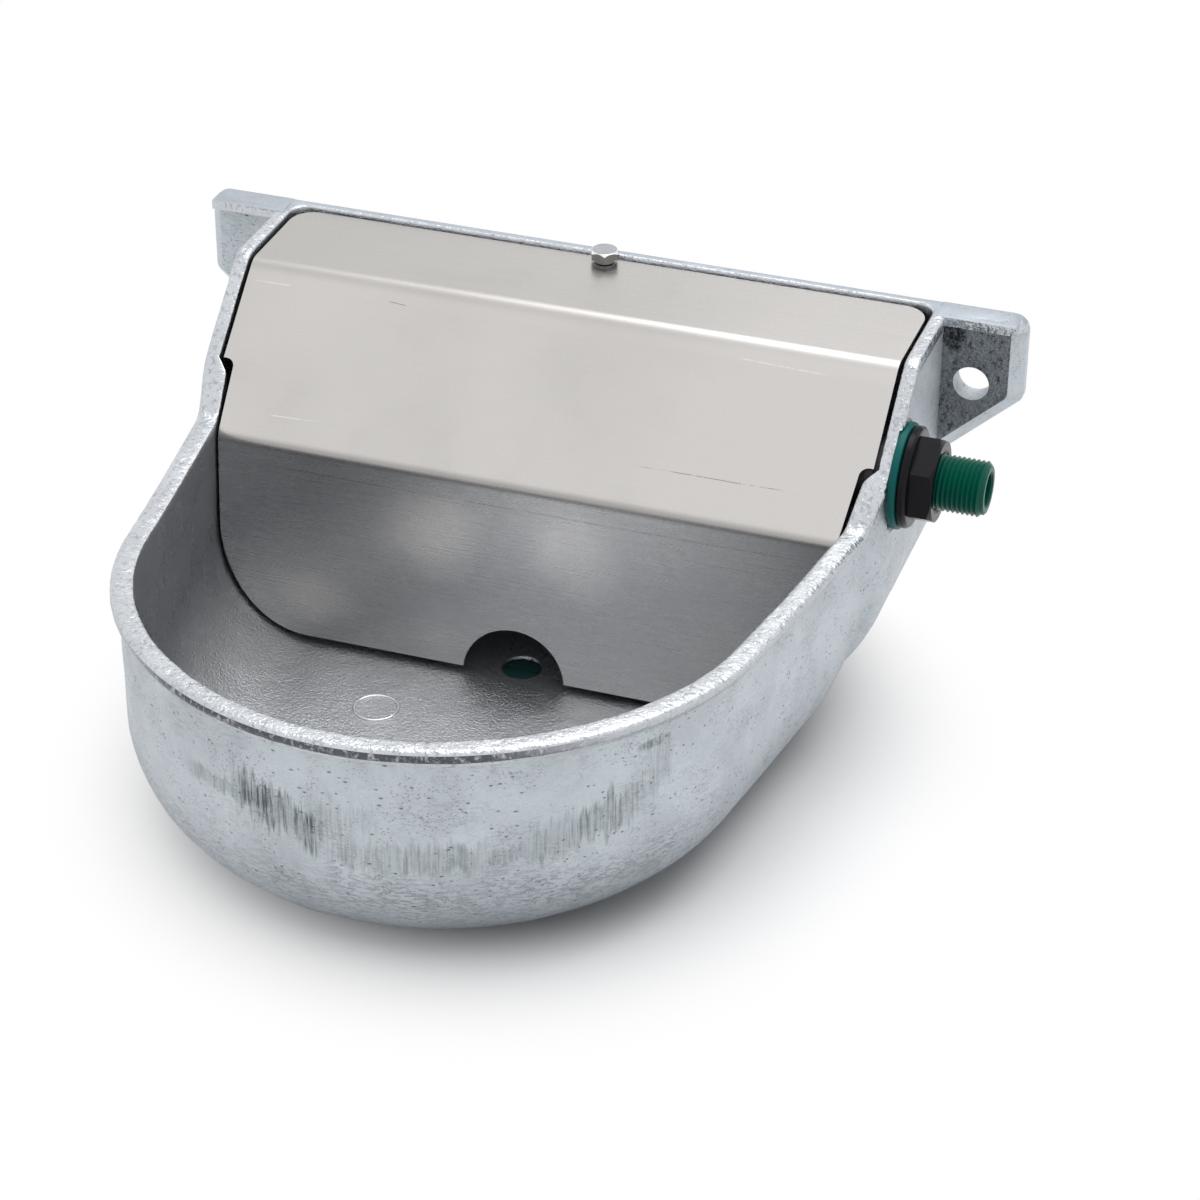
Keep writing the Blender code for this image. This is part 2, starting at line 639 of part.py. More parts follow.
def make_bowl():
    """Build the cast bowl with its ears, boss, inlet pad and holes."""
    iron = make_material("galvanised_iron", (0.62, 0.65, 0.67), 0.42, 0.85)
    bowl = make_object("bowl_casting", skin_rings(casting_rings()), iron)
    for side in (-1.0, 1.0):
        combine(bowl, make_ear(side), 'UNION')
    combine(bowl, make_screw_boss(), 'UNION')
    pad_start = REAR_HALF_WIDTH + REAR_WALL / 4
    inlet = Matrix.Translation((0.0, INLET_Y, INLET_Z)) @ TO_INLET
    pad = turned([(PAD_RADIUS, pad_start), (PAD_RADIUS, SPOT_FACE_X + OVERRUN)], LARGE_SEGMENTS)
    combine(bowl, make_object("pad", pad, place=inlet), 'UNION')
    face_radius = OUTER_GASKET_RADIUS + 2 * SEAT_GAP
    face = turned([(face_radius, SPOT_FACE_X), (face_radius, SPOT_FACE_X + 2 * OVERRUN)], LARGE_SEGMENTS)
    combine(bowl, make_object("spot face", face, place=inlet), 'DIFFERENCE')
    hole_radius = THREAD_RADIUS + SEAT_GAP
    hole = turned([(hole_radius, REAR_HALF_WIDTH - OVERRUN), (hole_radius, SPOT_FACE_X + OVERRUN)],
                  LARGE_SEGMENTS)
    combine(bowl, make_object("inlet hole", hole, place=inlet), 'DIFFERENCE')
    drain = turned([(DRAIN_RADIUS, -OVERRUN), (DRAIN_RADIUS, FLOOR + OVERRUN)], MEDIUM_SEGMENTS)
    place = Matrix.Translation((0.0, DRAIN_Y, BASE_Z))
    combine(bowl, make_object("drain hole", drain, place=place), 'DIFFERENCE')
    radius = SCREW_RADIUS + SEAT_GAP
    tapped = turned([(radius, -SCREW_LENGTH - SEAT_GAP), (radius, OVERRUN)], SMALL_SEGMENTS)
    place = Matrix.Translation((0.0, SCREW_Y, COVER_TOP_Z))
    combine(bowl, make_object("screw hole", tapped, place=place), 'DIFFERENCE')
    return bowl


class CoverProfile:
    """The cover's upper surface in YZ: a level top, a slope and a front that leans forward."""

    def __init__(self):
        self.turns = (0.0, COVER_SLOPE, math.pi / 2 - COVER_FRONT_LEAN)
        slope_drop = COVER_SLOPE_LENGTH * math.sin(COVER_SLOPE)
        front_drop = COVER_TOP_Z - slope_drop - (FLOOR_Z + COVER_FLOOR_GAP)
        self.lengths = (COVER_BACK_Y - COVER_BEND_Y, COVER_SLOPE_LENGTH,
                        front_drop / math.cos(COVER_FRONT_LEAN))
        self.bends = (self.lengths[0], self.lengths[0] + self.lengths[1])
        self.total = sum(self.lengths)
        self.starts = [Vector((COVER_BACK_Y, COVER_TOP_Z))]
        for turn, length in zip(self.turns, self.lengths):
            step = Vector((-math.cos(turn), -math.sin(turn))) * length
            self.starts.append(self.starts[-1] + step)

    def half_bend(self, index):
        """Return how far a bend reaches each way along the sheet."""
        return COVER_BEND_RADIUS * math.tan((self.turns[index + 1] - self.turns[index]) / 2)

    def point(self, along, depth):
        """Return the YZ place of a point of the flat sheet, at a depth under its upper surface."""
        for index, bend in enumerate(self.bends):
            reach = self.half_bend(index)
            if abs(along - bend) <= reach:
                share = (along - bend + reach) / (2 * reach)
                turn = self.turns[index] + (self.turns[index + 1] - self.turns[index]) * share
                first = self.turns[index]
                corner = self.starts[index + 1] + reach * Vector((math.cos(first), math.sin(first)))
                centre = corner - COVER_BEND_RADIUS * Vector((-math.sin(first), math.cos(first)))
                return centre + (COVER_BEND_RADIUS - depth) * Vector((-math.sin(turn), math.cos(turn)))
        index = sum(along > bend for bend in self.bends)
        turn = self.turns[index]
        start = sum(self.lengths[:index])
        place = self.starts[index] + (along - start) * Vector((-math.cos(turn), -math.sin(turn)))
        return place - depth * Vector((-math.sin(turn), math.cos(turn)))


def cover_half_outline(profile):
    """Return the right half of the flat sheet: (across, along) from the back to the port."""
    rear_half = REAR_HALF_WIDTH - COVER_SIDE_GAP
    corner = (rear_half - COVER_CORNER_RADIUS, COVER_CORNER_RADIUS)
    points = arc(corner, COVER_CORNER_RADIUS, -math.pi / 2, 0.0, ARC_STEPS)
    inner = inner_line()
    notch = profile.bends[0] + (COVER_BEND_Y - SHOULDER_Y) / math.cos(COVER_SLOPE)
    notch -= COVER_NOTCH_FLAT
    for along in (profile.bends[1], profile.total - COVER_LOW_CORNER_HEIGHT):
        points.append((inner.side(profile.point(along, 0.0).x, 0.0).x - COVER_FRONT_GAP, along))
    bend_width, low_width = points[-2][0], points[-1][0]
    below_notch = rear_half - COVER_NOTCH_FLAT - COVER_NOTCH_RADIUS
    step = [(rear_half, notch)]
    step += arc((below_notch + COVER_NOTCH_RADIUS, notch + COVER_NOTCH_RADIUS), COVER_NOTCH_RADIUS,
                -math.pi / 2, -math.pi, ARC_STEPS)
    points[-2:] = step + [(bend_width, profile.bends[1]), points[-1]]
    low_start = profile.total - COVER_LOW_CORNER_HEIGHT
    for index in range(1, 2 * ARC_STEPS + 1):
        angle = math.pi / 2 * index / (2 * ARC_STEPS)
        across = low_width - COVER_LOW_CORNER_WIDTH * (1.0 - math.cos(angle))
        points.append((across, low_start + COVER_LOW_CORNER_HEIGHT * math.sin(angle)))
    first = math.asin(PORT_DROP / PORT_RADIUS)
    port = arc((0.0, profile.total + PORT_DROP), PORT_RADIUS, -first, -math.pi / 2, 2 * ARC_STEPS)
    return points + port


def make_cover(parent):
    """Build the bent cover: a flat blank is cut out, scored at its bends and folded."""
    steel = make_material("brushed_stainless", (0.60, 0.59, 0.58), 0.32, 1.0)
    profile = CoverProfile()
    half = cover_half_outline(profile)
    outline = half + [(-across, along) for across, along in reversed(half[:-1])]
    bm = bmesh.new()
    bm.faces.new([bm.verts.new((across, along, 0.0)) for across, along in outline])
    for index, bend in enumerate(profile.bends):
        reach = profile.half_bend(index)
        for step in range(COVER_BEND_STEPS + 1):
            along = bend - reach + 2 * reach * step / COVER_BEND_STEPS
            geometry = list(bm.verts) + list(bm.edges) + list(bm.faces)
            bmesh.ops.bisect_plane(bm, geom=geometry, plane_co=(0.0, along, 0.0), plane_no=(0.0, 1.0, 0.0))
    lower = bmesh.ops.extrude_face_region(bm, geom=list(bm.faces))["geom"]
    for vert in [item for item in lower if isinstance(item, bmesh.types.BMVert)]:
        vert.co.z = SHEET
    for vert in bm.verts:
        y, z = profile.point(vert.co.y, vert.co.z)
        vert.co = (vert.co.x, y, z)
    cover = make_object("cover_plate", bm, steel, parent=parent)
    radius = SCREW_RADIUS + SEAT_GAP
    outline = arc((0.0, SCREW_Y), radius, math.pi, math.tau, 2 * ARC_STEPS)
    outline += [(radius, COVER_BACK_Y + OVERRUN), (-radius, COVER_BACK_Y + OVERRUN)]
    slot = extruded(outline, COVER_TOP_Z - OVERRUN, COVER_TOP_Z + OVERRUN)
    combine(cover, make_object("screw slot", slot), 'DIFFERENCE')
    return cover


def make_hex_tool(flats, height, chamfer, turn):
    """Return a hexagon with its upper corners turned off."""
    corner = flats / 2 / math.cos(math.pi / 6)
    prism = make_object("hexagon", skin_rings([circle(corner, level, 6, turn) for level in (0.0, height)]))
    profile = [(corner + chamfer, -chamfer), (corner + chamfer, height - 2 * chamfer),
               (flats / 2 - chamfer / 2, height + SEAT_GAP)]
    combine(prism, make_object("chamfer", turned(profile, MEDIUM_SEGMENTS)), 'INTERSECT')
    return prism


def make_cover_screw(parent):
    """Build the hexagon screw that holds the cover to its boss."""
    zinc = make_material("zinc_plated_steel", (0.66, 0.67, 0.68), 0.28, 1.0)
    shank = [(SCREW_RADIUS - SCREW_HEAD_CHAMFER, SHEET - SCREW_LENGTH),
             (SCREW_RADIUS, SHEET - SCREW_LENGTH + SCREW_HEAD_CHAMFER), (SCREW_RADIUS, SEAT_GAP),
             (SCREW_COLLAR_RADIUS, SEAT_GAP), (SCREW_COLLAR_RADIUS, SCREW_HEAD_Z - COVER_TOP_Z + SEAT_GAP)]
    place = Matrix.Translation((0.0, SCREW_Y, COVER_TOP_Z))
    screw = make_object("cover_screw", turned(shank, SMALL_SEGMENTS), zinc, place, parent)
    turn = SCREW_HEAD_TURN - math.pi / 2
    head = make_hex_tool(SCREW_HEAD_FLATS, SCREW_HEAD_HEIGHT, SCREW_HEAD_CHAMFER, turn)
    head.matrix_basis = Matrix.Translation((0.0, SCREW_Y, SCREW_HEAD_Z))
    combine(screw, head, 'UNION')
    return screw


def make_drain():
    """Build the drain plug and the seal in its groove."""
    rubber = make_material("plug_rubber", (0.02, 0.09, 0.08), 0.55, 0.0)
    seal_rubber = make_material("seal_rubber", (0.03, 0.03, 0.03), 0.6, 0.0)
    radius = DRAIN_RADIUS - SEAT_GAP
    groove = radius - PLUG_GROOVE_DEPTH
    groove_height = PLUG_SEAL_HEIGHT + 2 * SEAT_GAP
    low = (PLUG_HEIGHT - groove_height) / 2
    high = low + groove_height
    profile = [(radius - PLUG_CHAMFER, 0.0), (radius, PLUG_CHAMFER), (radius, low), (groove, low),
               (groove, high), (radius, high), (radius, PLUG_HEIGHT - PLUG_CHAMFER),
               (radius - PLUG_CHAMFER, PLUG_HEIGHT)]
    place = Matrix.Translation((0.0, DRAIN_Y, BASE_Z + PLUG_UNDERSIDE))
    lift = bpy.data.objects.new("drain_lift", None)
    bpy.context.collection.objects.link(lift)
    lift.matrix_basis = place
    plug = make_object("drain_plug", turned(profile, MEDIUM_SEGMENTS), rubber, parent=lift)
    half = PLUG_SLOT_WIDTH / 2
    outline = [(-radius * 2, -half), (radius * 2, -half), (radius * 2, half), (-radius * 2, half)]
    slot = extruded(outline, PLUG_HEIGHT - PLUG_SLOT_DEPTH, PLUG_HEIGHT + OVERRUN)
    combine(plug, make_object("slot", slot, place=place), 'DIFFERENCE')
    inner = groove + SEAT_GAP
    bevel = PLUG_CHAMFER
    bottom = low + SEAT_GAP
    top = bottom + PLUG_SEAL_HEIGHT
    ring = [(inner, bottom + bevel), (inner + bevel, bottom), (radius - bevel, bottom),
            (radius, bottom + bevel), (radius, top - bevel), (radius - bevel, top), (inner + bevel, top),
            (inner, top - bevel)]
    make_object("drain_seal", turned_ring(ring, MEDIUM_SEGMENTS), seal_rubber, parent=lift)


def inlet_place(x):
    """Return the placement of a turned piece on the inlet axis, its local Z along +X."""
    return Matrix.Translation((x, INLET_Y, INLET_Z)) @ TO_INLET


def flat_ring(inner, outer, thickness):
    """Return a closed profile for a flat ring."""
    return [(inner, 0.0), (outer, 0.0), (outer, thickness), (inner, thickness)]


def make_inlet():
    """Build the inlet fitting, its gaskets, lock nut, nozzle and sealing ring."""
    green = make_material("green_plastic", (0.0, 0.19, 0.15), 0.35, 0.0)
    teal = make_material("teal_rubber", (0.0, 0.17, 0.17), 0.5, 0.0)
    black = make_material("black_plastic", (0.012, 0.012, 0.013), 0.38, 0.0)
    rubber = make_material("black_rubber", (0.02, 0.02, 0.022), 0.6, 0.0)
    white = make_material("white_plastic", (0.75, 0.75, 0.72), 0.4, 0.0)

    length = THREAD_END_X - SPIGOT_TIP_X
    root = SPIGOT_ROOT_X - SPIGOT_TIP_X
    groove = SPIGOT_RADIUS - RING_GROOVE_DEPTH
    groove_end = RING_GROOVE_FROM_TIP + RING_GROOVE_WIDTH
    profile = [(INLET_BORE_RADIUS, 0.0), (SPIGOT_RADIUS, 0.0), (SPIGOT_RADIUS, RING_GROOVE_FROM_TIP),
               (groove, RING_GROOVE_FROM_TIP), (groove, groove_end), (SPIGOT_RADIUS, groove_end),
               (SPIGOT_RADIUS, root), (FITTING_FLANGE_RADIUS, root),
               (FITTING_FLANGE_RADIUS, root + FITTING_FLANGE_THICKNESS),
               (THREAD_RADIUS, root + FITTING_FLANGE_THICKNESS), (THREAD_RADIUS, length - THREAD_END_CHAMFER),
               (THREAD_RADIUS - THREAD_END_CHAMFER, length), (INLET_BORE_RADIUS, length)]
    fitting = make_object("inlet_fitting", turned_ring(profile, LARGE_SEGMENTS), green,
                          inlet_place(SPIGOT_TIP_X))
    dimple = turned([(HOUSING_SCREW_RADIUS + SEAT_GAP, SPIGOT_RADIUS - HOUSING_SCREW_BITE - SEAT_GAP),
                     (HOUSING_SCREW_RADIUS + SEAT_GAP, SPIGOT_RADIUS + OVERRUN)], SMALL_SEGMENTS)
    combine(fitting, make_object("dimple", dimple, place=housing_screw_place()), 'DIFFERENCE')

    bore = THREAD_RADIUS + SEAT_GAP
    make_object("outer_gasket", turned_ring(flat_ring(bore, OUTER_GASKET_RADIUS, OUTER_GASKET_THICKNESS),
                                            LARGE_SEGMENTS), teal, inlet_place(OUTER_GASKET_X))
    make_object("inner_gasket", turned_ring(flat_ring(bore, INNER_GASKET_RADIUS, INNER_GASKET_THICKNESS),
                                            LARGE_SEGMENTS), rubber,
                inlet_place(INNER_GASKET_X - INNER_GASKET_THICKNESS))

    flange = turned([(NUT_FLANGE_RADIUS, 0.0), (NUT_FLANGE_RADIUS, NUT_FLANGE_THICKNESS)], LARGE_SEGMENTS)
    nut = make_object("lock_nut", flange, black, inlet_place(NUT_X))
    length = NUT_FLANGE_THICKNESS / 2 + NUT_HEX_LENGTH
    hexagon = make_hex_tool(NUT_FLATS, length, NUT_CHAMFER, NUT_TURN)
    hexagon.matrix_basis = inlet_place(NUT_X + NUT_FLANGE_THICKNESS / 2)
    combine(nut, hexagon, 'UNION')
    hole = turned([(bore, -OVERRUN), (bore, NUT_FLANGE_THICKNESS + NUT_HEX_LENGTH + OVERRUN)], LARGE_SEGMENTS)
    combine(nut, make_object("nut bore", hole, place=inlet_place(NUT_X)), 'DIFFERENCE')

    seat_end = NOZZLE_SEAT_LENGTH
    flange_end = seat_end + NOZZLE_FLANGE_THICKNESS
    plug = INLET_BORE_RADIUS - SEAT_GAP
    profile = [(NOZZLE_BORE_RADIUS, 0.0), (NOZZLE_SEAT_RADIUS, 0.0),
               (NOZZLE_SEAT_RADIUS + seat_end / 2, seat_end), (NOZZLE_FLANGE_RADIUS, seat_end),
               (NOZZLE_FLANGE_RADIUS, flange_end), (plug, flange_end),
               (plug, flange_end + NOZZLE_PLUG_LENGTH), (NOZZLE_BORE_RADIUS, flange_end + NOZZLE_PLUG_LENGTH)]
    make_object("nozzle", turned_ring(profile, MEDIUM_SEGMENTS), white, inlet_place(SEAT_X))

    inner = groove + SEAT_GAP
    width = RING_GROOVE_WIDTH - 2 * SEAT_GAP
    middle = (inner + SPIGOT_RADIUS) / 2
    ring = loop((middle, width / 2), (SPIGOT_RADIUS - inner) / 2, SEAL_SEGMENTS)
    make_object("spigot_seal_ring", turned_ring(ring, MEDIUM_SEGMENTS), rubber,
                inlet_place(SPIGOT_TIP_X + RING_GROOVE_FROM_TIP + SEAT_GAP))


def housing_screw_place():
    """Return the placement of the housing's screw, its local Z pointing down from the inlet axis."""
    x = SPIGOT_ROOT_X - SEAT_GAP - HOUSING_SCREW_FROM_FLANGE
    return Matrix.Translation((x, INLET_Y, INLET_Z)) @ Matrix.Rotation(math.pi, 4, 'X')


def float_travel():
    """Return how far the lever turns from its stop, where the float's far corner is clear of the floor."""
    across = FLOAT_FROM_PIVOT + FLOAT_LENGTH / 2
    down = HUB_RADIUS + FLOAT_HEIGHT
    room = PIVOT_Z - FLOOR_Z - FLOAT_FLOOR_GAP
    return math.asin(room / math.hypot(across, down)) - math.atan2(down, across)


def lug_rest_point():
    """Return the stop lug's lowest front corner in XZ once the float hangs at its stop."""
    turn = float_travel()
    x = STOP_LUG_FRONT * math.cos(turn) + STOP_LUG_REACH * math.sin(turn)
    z = STOP_LUG_FRONT * math.sin(turn) - STOP_LUG_REACH * math.cos(turn)
    return PIVOT_X + x, PIVOT_Z + z


def make_housing():
    """Build the valve housing: a collar on the spigot, two cheeks and the lever's stop."""
    grey = make_material("grey_plastic", (0.045, 0.047, 0.05), 0.45, 0.0)
    steel = make_material("stainless_screw", (0.6, 0.6, 0.6), 0.3, 1.0)
    root_x = SPIGOT_ROOT_X - SEAT_GAP
    collar = turned([(HOUSING_RADIUS, 0.0), (HOUSING_RADIUS, HOUSING_LENGTH)], LARGE_SEGMENTS)
    housing = make_object("valve_housing", collar, grey, inlet_place(root_x - HOUSING_LENGTH))
    stop_x, stop_z = lug_rest_point()
    web_x = stop_x + SEAT_GAP
    web_low = stop_z - STOP_WEB_HEIGHT / 2
    web = [(web_x, web_low), (web_x + STOP_WEB_THICKNESS, web_low),
           (web_x, web_low + STOP_WEB_HEIGHT), (web_x + STOP_WEB_THICKNESS, web_low + STOP_WEB_HEIGHT)]
    eye = loop((PIVOT_X, PIVOT_Z), CHEEK_EYE_RADIUS, EYE_SEGMENTS)
    start = root_x - HOUSING_LENGTH
    root = [(start + dx, INLET_Z + dz) for dx in (CHEEK_ROOT_SETBACK, CHEEK_ROOT_LENGTH)
            for dz in (-CHEEK_ROOT_HALF_HEIGHT, CHEEK_ROOT_HALF_HEIGHT)]
    for side in (-1.0, 1.0):
        near, far = sorted((INLET_Y + side * CHEEK_INNER_Y, INLET_Y + side * CHEEK_OUTER_Y))
        combine(housing, make_object("cheek", hull_plate(eye + web + root, near, far)), 'UNION')
    middle = (CHEEK_INNER_Y + CHEEK_OUTER_Y) / 2
    bridge = hull_plate(web, INLET_Y - middle, INLET_Y + middle)
    combine(housing, make_object("stop web", bridge), 'UNION')
    radius = SPIGOT_RADIUS + SEAT_GAP
    bore = turned([(radius, -OVERRUN), (radius, HOUSING_LENGTH + OVERRUN)], LARGE_SEGMENTS)
    combine(housing, make_object("housing bore", bore, place=inlet_place(start)), 'DIFFERENCE')
    pin_hole = turned([(PIN_HOLE_RADIUS, -2 * CHEEK_OUTER_Y), (PIN_HOLE_RADIUS, 2 * CHEEK_OUTER_Y)],
                      SMALL_SEGMENTS)
    combine(housing, make_object("pin hole", pin_hole, place=pivot_place()), 'DIFFERENCE')
    radius = HOUSING_SCREW_RADIUS + SEAT_GAP
    screw_hole = turned([(radius, SPIGOT_RADIUS - OVERRUN), (radius, HOUSING_RADIUS + OVERRUN)],
                        SMALL_SEGMENTS)
    combine(housing, make_object("screw hole", screw_hole, place=housing_screw_place()), 'DIFFERENCE')
    seat = HOUSING_RADIUS + SEAT_GAP
    profile = [(HOUSING_SCREW_RADIUS, SPIGOT_RADIUS - HOUSING_SCREW_BITE), (HOUSING_SCREW_RADIUS, seat)]
    profile += screw_head(HOUSING_SCREW_HEAD_RADIUS, seat, HOUSING_SCREW_HEAD_HEIGHT)
    make_object("housing_screw", turned(profile, SMALL_SEGMENTS), steel, housing_screw_place())
    return housing


def pivot_place():
    """Return the placement of a turned piece on the lever's pivot, its local Z along -Y."""
    return Matrix.Translation((PIVOT_X, INLET_Y, PIVOT_Z)) @ Matrix.Rotation(math.pi / 2, 4, 'X')


def make_pivot_pin():
    """Build the pin that carries the lever, with a push-on clip at each end."""
    steel = make_material("pin_steel", (0.62, 0.62, 0.62), 0.25, 1.0)
    half = CHEEK_OUTER_Y + PIN_OVERHANG
    chamfer = PIN_RADIUS / 4
    profile = [(PIN_RADIUS - chamfer, -half), (PIN_RADIUS, chamfer - half), (PIN_RADIUS, half - chamfer),
               (PIN_RADIUS - chamfer, half)]
    make_object("pivot_pin", turned(profile, SMALL_SEGMENTS), steel, pivot_place())
    clip = flat_ring(PIN_HOLE_RADIUS, CLIP_RADIUS, CLIP_THICKNESS)
    for name, side in (("front_pin_clip", 1.0), ("rear_pin_clip", -1.0)):
        low = min(side * (CHEEK_OUTER_Y + SEAT_GAP), side * (CHEEK_OUTER_Y + SEAT_GAP + CLIP_THICKNESS))
        place = pivot_place() @ Matrix.Translation((0.0, 0.0, low))
        make_object(name, turned_ring(clip, SMALL_SEGMENTS), steel, place)


def make_lever(pivot):
    """Build the float lever about its pivot, as it lies when the bowl is full."""
    grey = make_material("lever_plastic", (0.05, 0.05, 0.055), 0.45, 0.0)
    rubber = make_material("disc_rubber", (0.03, 0.03, 0.03), 0.65, 0.0)
    across = Matrix.Rotation(math.pi / 2, 4, 'X')
    hub = turned([(HUB_RADIUS, -HUB_HALF_LENGTH), (HUB_RADIUS, HUB_HALF_LENGTH)], MEDIUM_SEGMENTS)
    lever = make_object("float_lever", hub, grey, across)
    seat = PIVOT_FROM_SEAT - SEAT_GAP
    disc_back = seat - DISC_THICKNESS
    cup_back = disc_back - SEAT_GAP - CUP_FLOOR
    cup_place = Matrix.Translation((cup_back, 0.0, PIVOT_DROP)) @ TO_INLET
    cup_length = CUP_FLOOR + CUP_DEPTH
    cup = turned([(CUP_RADIUS, 0.0), (CUP_RADIUS, cup_length)], MEDIUM_SEGMENTS)
    combine(lever, make_object("cup", cup, place=cup_place), 'UNION')
    neck = [(cup_back, 0.0), (cup_back + CUP_ARM_THICKNESS, 0.0),
            (cup_back + CUP_ARM_THICKNESS, PIVOT_DROP), (cup_back, PIVOT_DROP)]
    neck_bm = extruded(neck, -CUP_ARM_HALF_WIDTH, CUP_ARM_HALF_WIDTH, axes='xz')
    combine(lever, make_object("neck", neck_bm), 'UNION')
    recess = turned([(DISC_RADIUS + SEAT_GAP, CUP_FLOOR), (DISC_RADIUS + SEAT_GAP, cup_length + OVERRUN)],
                    MEDIUM_SEGMENTS)
    combine(lever, make_object("recess", recess, place=cup_place), 'DIFFERENCE')

    low = -HUB_RADIUS + SEAT_GAP
    high = low + ARM_THICKNESS
    corner = (-FLOAT_SCREW_FROM_PIVOT, 0.0)
    spread = math.asin(ARM_TIP_HALF_WIDTH / ARM_TIP_OVERHANG)
    tip = arc(corner, ARM_TIP_OVERHANG, math.pi - spread, math.pi + spread, ARC_STEPS)
    arm = [(0.0, -ARM_ROOT_HALF_WIDTH), (0.0, ARM_ROOT_HALF_WIDTH)] + tip
    combine(lever, make_object("arm", extruded(arm, low, high)), 'UNION')
    rib = [(0.0, -ARM_RIB_HALF_WIDTH), (0.0, ARM_RIB_HALF_WIDTH),
           (-ARM_RIB_LENGTH, ARM_RIB_HALF_WIDTH), (-ARM_RIB_LENGTH, -ARM_RIB_HALF_WIDTH)]
    rib_bm = extruded(rib, low + ARM_THICKNESS / 2, high + ARM_RIB_HEIGHT)
    combine(lever, make_object("rib", rib_bm), 'UNION')
    lug = [(-STOP_LUG_BACK, 0.0), (STOP_LUG_FRONT, 0.0), (STOP_LUG_FRONT, -STOP_LUG_REACH),
           (-STOP_LUG_BACK, -STOP_LUG_REACH)]
    lug_bm = extruded(lug, -STOP_LUG_HALF_WIDTH, STOP_LUG_HALF_WIDTH, axes='xz')
    combine(lever, make_object("lug", lug_bm), 'UNION')
    hole = turned([(PIN_HOLE_RADIUS, -2 * HUB_HALF_LENGTH), (PIN_HOLE_RADIUS, 2 * HUB_HALF_LENGTH)],
                  SMALL_SEGMENTS)
    combine(lever, make_object("lever bore", hole, place=across), 'DIFFERENCE')
    radius = FLOAT_SCREW_RADIUS + SEAT_GAP
    screw_hole = turned([(radius, low - OVERRUN), (radius, high + OVERRUN)], SMALL_SEGMENTS)
    place = Matrix.Translation((-FLOAT_SCREW_FROM_PIVOT, 0.0, 0.0))
    combine(lever, make_object("float screw hole", screw_hole, place=place), 'DIFFERENCE')
    lever.parent = pivot

    disc = turned([(DISC_RADIUS, 0.0), (DISC_RADIUS, DISC_THICKNESS)], MEDIUM_SEGMENTS)
    place = Matrix.Translation((disc_back, 0.0, PIVOT_DROP)) @ TO_INLET
    make_object("seal_disc", disc, rubber, place, pivot)


def float_ring(inset, height):
    """Return one level ring of the float, drawn in from its sides."""
    radius = FLOAT_CORNER_RADIUS - inset
    half_x = FLOAT_LENGTH / 2 - FLOAT_CORNER_RADIUS
    half_y = FLOAT_WIDTH / 2 - FLOAT_CORNER_RADIUS
    points = []
    for quarter, (sx, sy) in enumerate(((1, 1), (-1, 1), (-1, -1), (1, -1))):
        start = quarter * math.pi / 2
        points += arc((sx * half_x, sy * half_y), radius, start, start + math.pi / 2, FLOAT_CORNER_STEPS)
    return [Vector((x - FLOAT_FROM_PIVOT, y, height)) for x, y in points]


def make_float(pivot):
    """Build the float and the screw that holds it under the lever's arm."""
    white = make_material("float_plastic", (0.72, 0.72, 0.68), 0.4, 0.0)
    steel = make_material("float_screw_steel", (0.6, 0.6, 0.6), 0.3, 1.0)
    top = -HUB_RADIUS
    bottom = top - FLOAT_HEIGHT
    seam = (top + bottom) / 2
    rings = []
    for step in range(FLOAT_EDGE_STEPS + 1):
        angle = math.pi / 2 * step / FLOAT_EDGE_STEPS
        inset = FLOAT_EDGE_RADIUS * (1.0 - math.sin(angle))
        rings.append(float_ring(inset, bottom + FLOAT_EDGE_RADIUS * (1.0 - math.cos(angle))))
    half_seam = FLOAT_SEAM_HEIGHT / 2
    rings += [float_ring(0.0, seam - half_seam), float_ring(-FLOAT_SEAM_REACH, seam - half_seam),
              float_ring(-FLOAT_SEAM_REACH, seam + half_seam), float_ring(0.0, seam + half_seam)]
    for step in range(FLOAT_EDGE_STEPS, -1, -1):
        angle = math.pi / 2 * step / FLOAT_EDGE_STEPS
        inset = FLOAT_EDGE_RADIUS * (1.0 - math.sin(angle))
        rings.append(float_ring(inset, top - FLOAT_EDGE_RADIUS * (1.0 - math.cos(angle))))
    body = make_object("float", skin_rings(rings), white)
    head_seat = top + SEAT_GAP + ARM_THICKNESS + SEAT_GAP
    depth = head_seat - FLOAT_SCREW_LENGTH
    radius = FLOAT_SCREW_RADIUS + SEAT_GAP
    place = Matrix.Translation((-FLOAT_SCREW_FROM_PIVOT, 0.0, 0.0))
    hole = turned([(radius, depth - SEAT_GAP), (radius, top + OVERRUN)], SMALL_SEGMENTS)
    combine(body, make_object("float socket", hole, place=place), 'DIFFERENCE')
    body.parent = pivot
    profile = [(FLOAT_SCREW_RADIUS * SCREW_POINT_SHARE, depth),
               (FLOAT_SCREW_RADIUS, depth + FLOAT_SCREW_RADIUS / 2), (FLOAT_SCREW_RADIUS, head_seat)]
    profile += screw_head(FLOAT_SCREW_HEAD_RADIUS, head_seat, FLOAT_SCREW_HEAD_HEIGHT)
    make_object("float_screw", turned(profile, SMALL_SEGMENTS), steel, place, pivot)


def make_float_assembly():
    """Build what swings with the float, hanging at its lower stop."""
    pivot = bpy.data.objects.new("float_pivot", None)
    bpy.context.collection.objects.link(pivot)
    make_lever(pivot)
    make_float(pivot)
    pivot.matrix_basis = (Matrix.Translation((PIVOT_X, INLET_Y, PIVOT_Z))
                          @ Matrix.Rotation(-float_travel(), 4, 'Y'))
    bpy.context.view_layer.update()


def make_cover_assembly():
    """Build the cover and its screw, which lift off together."""
    lift = bpy.data.objects.new("cover_lift", None)
    bpy.context.collection.objects.link(lift)
    make_cover(lift)
    make_cover_screw(lift)


def main():
    """Build the whole bowl."""
    clear_scene()
    make_bowl()
    make_cover_assembly()
    make_drain()
    make_inlet()
    make_housing()
    make_pivot_pin()
    make_float_assembly()


main()
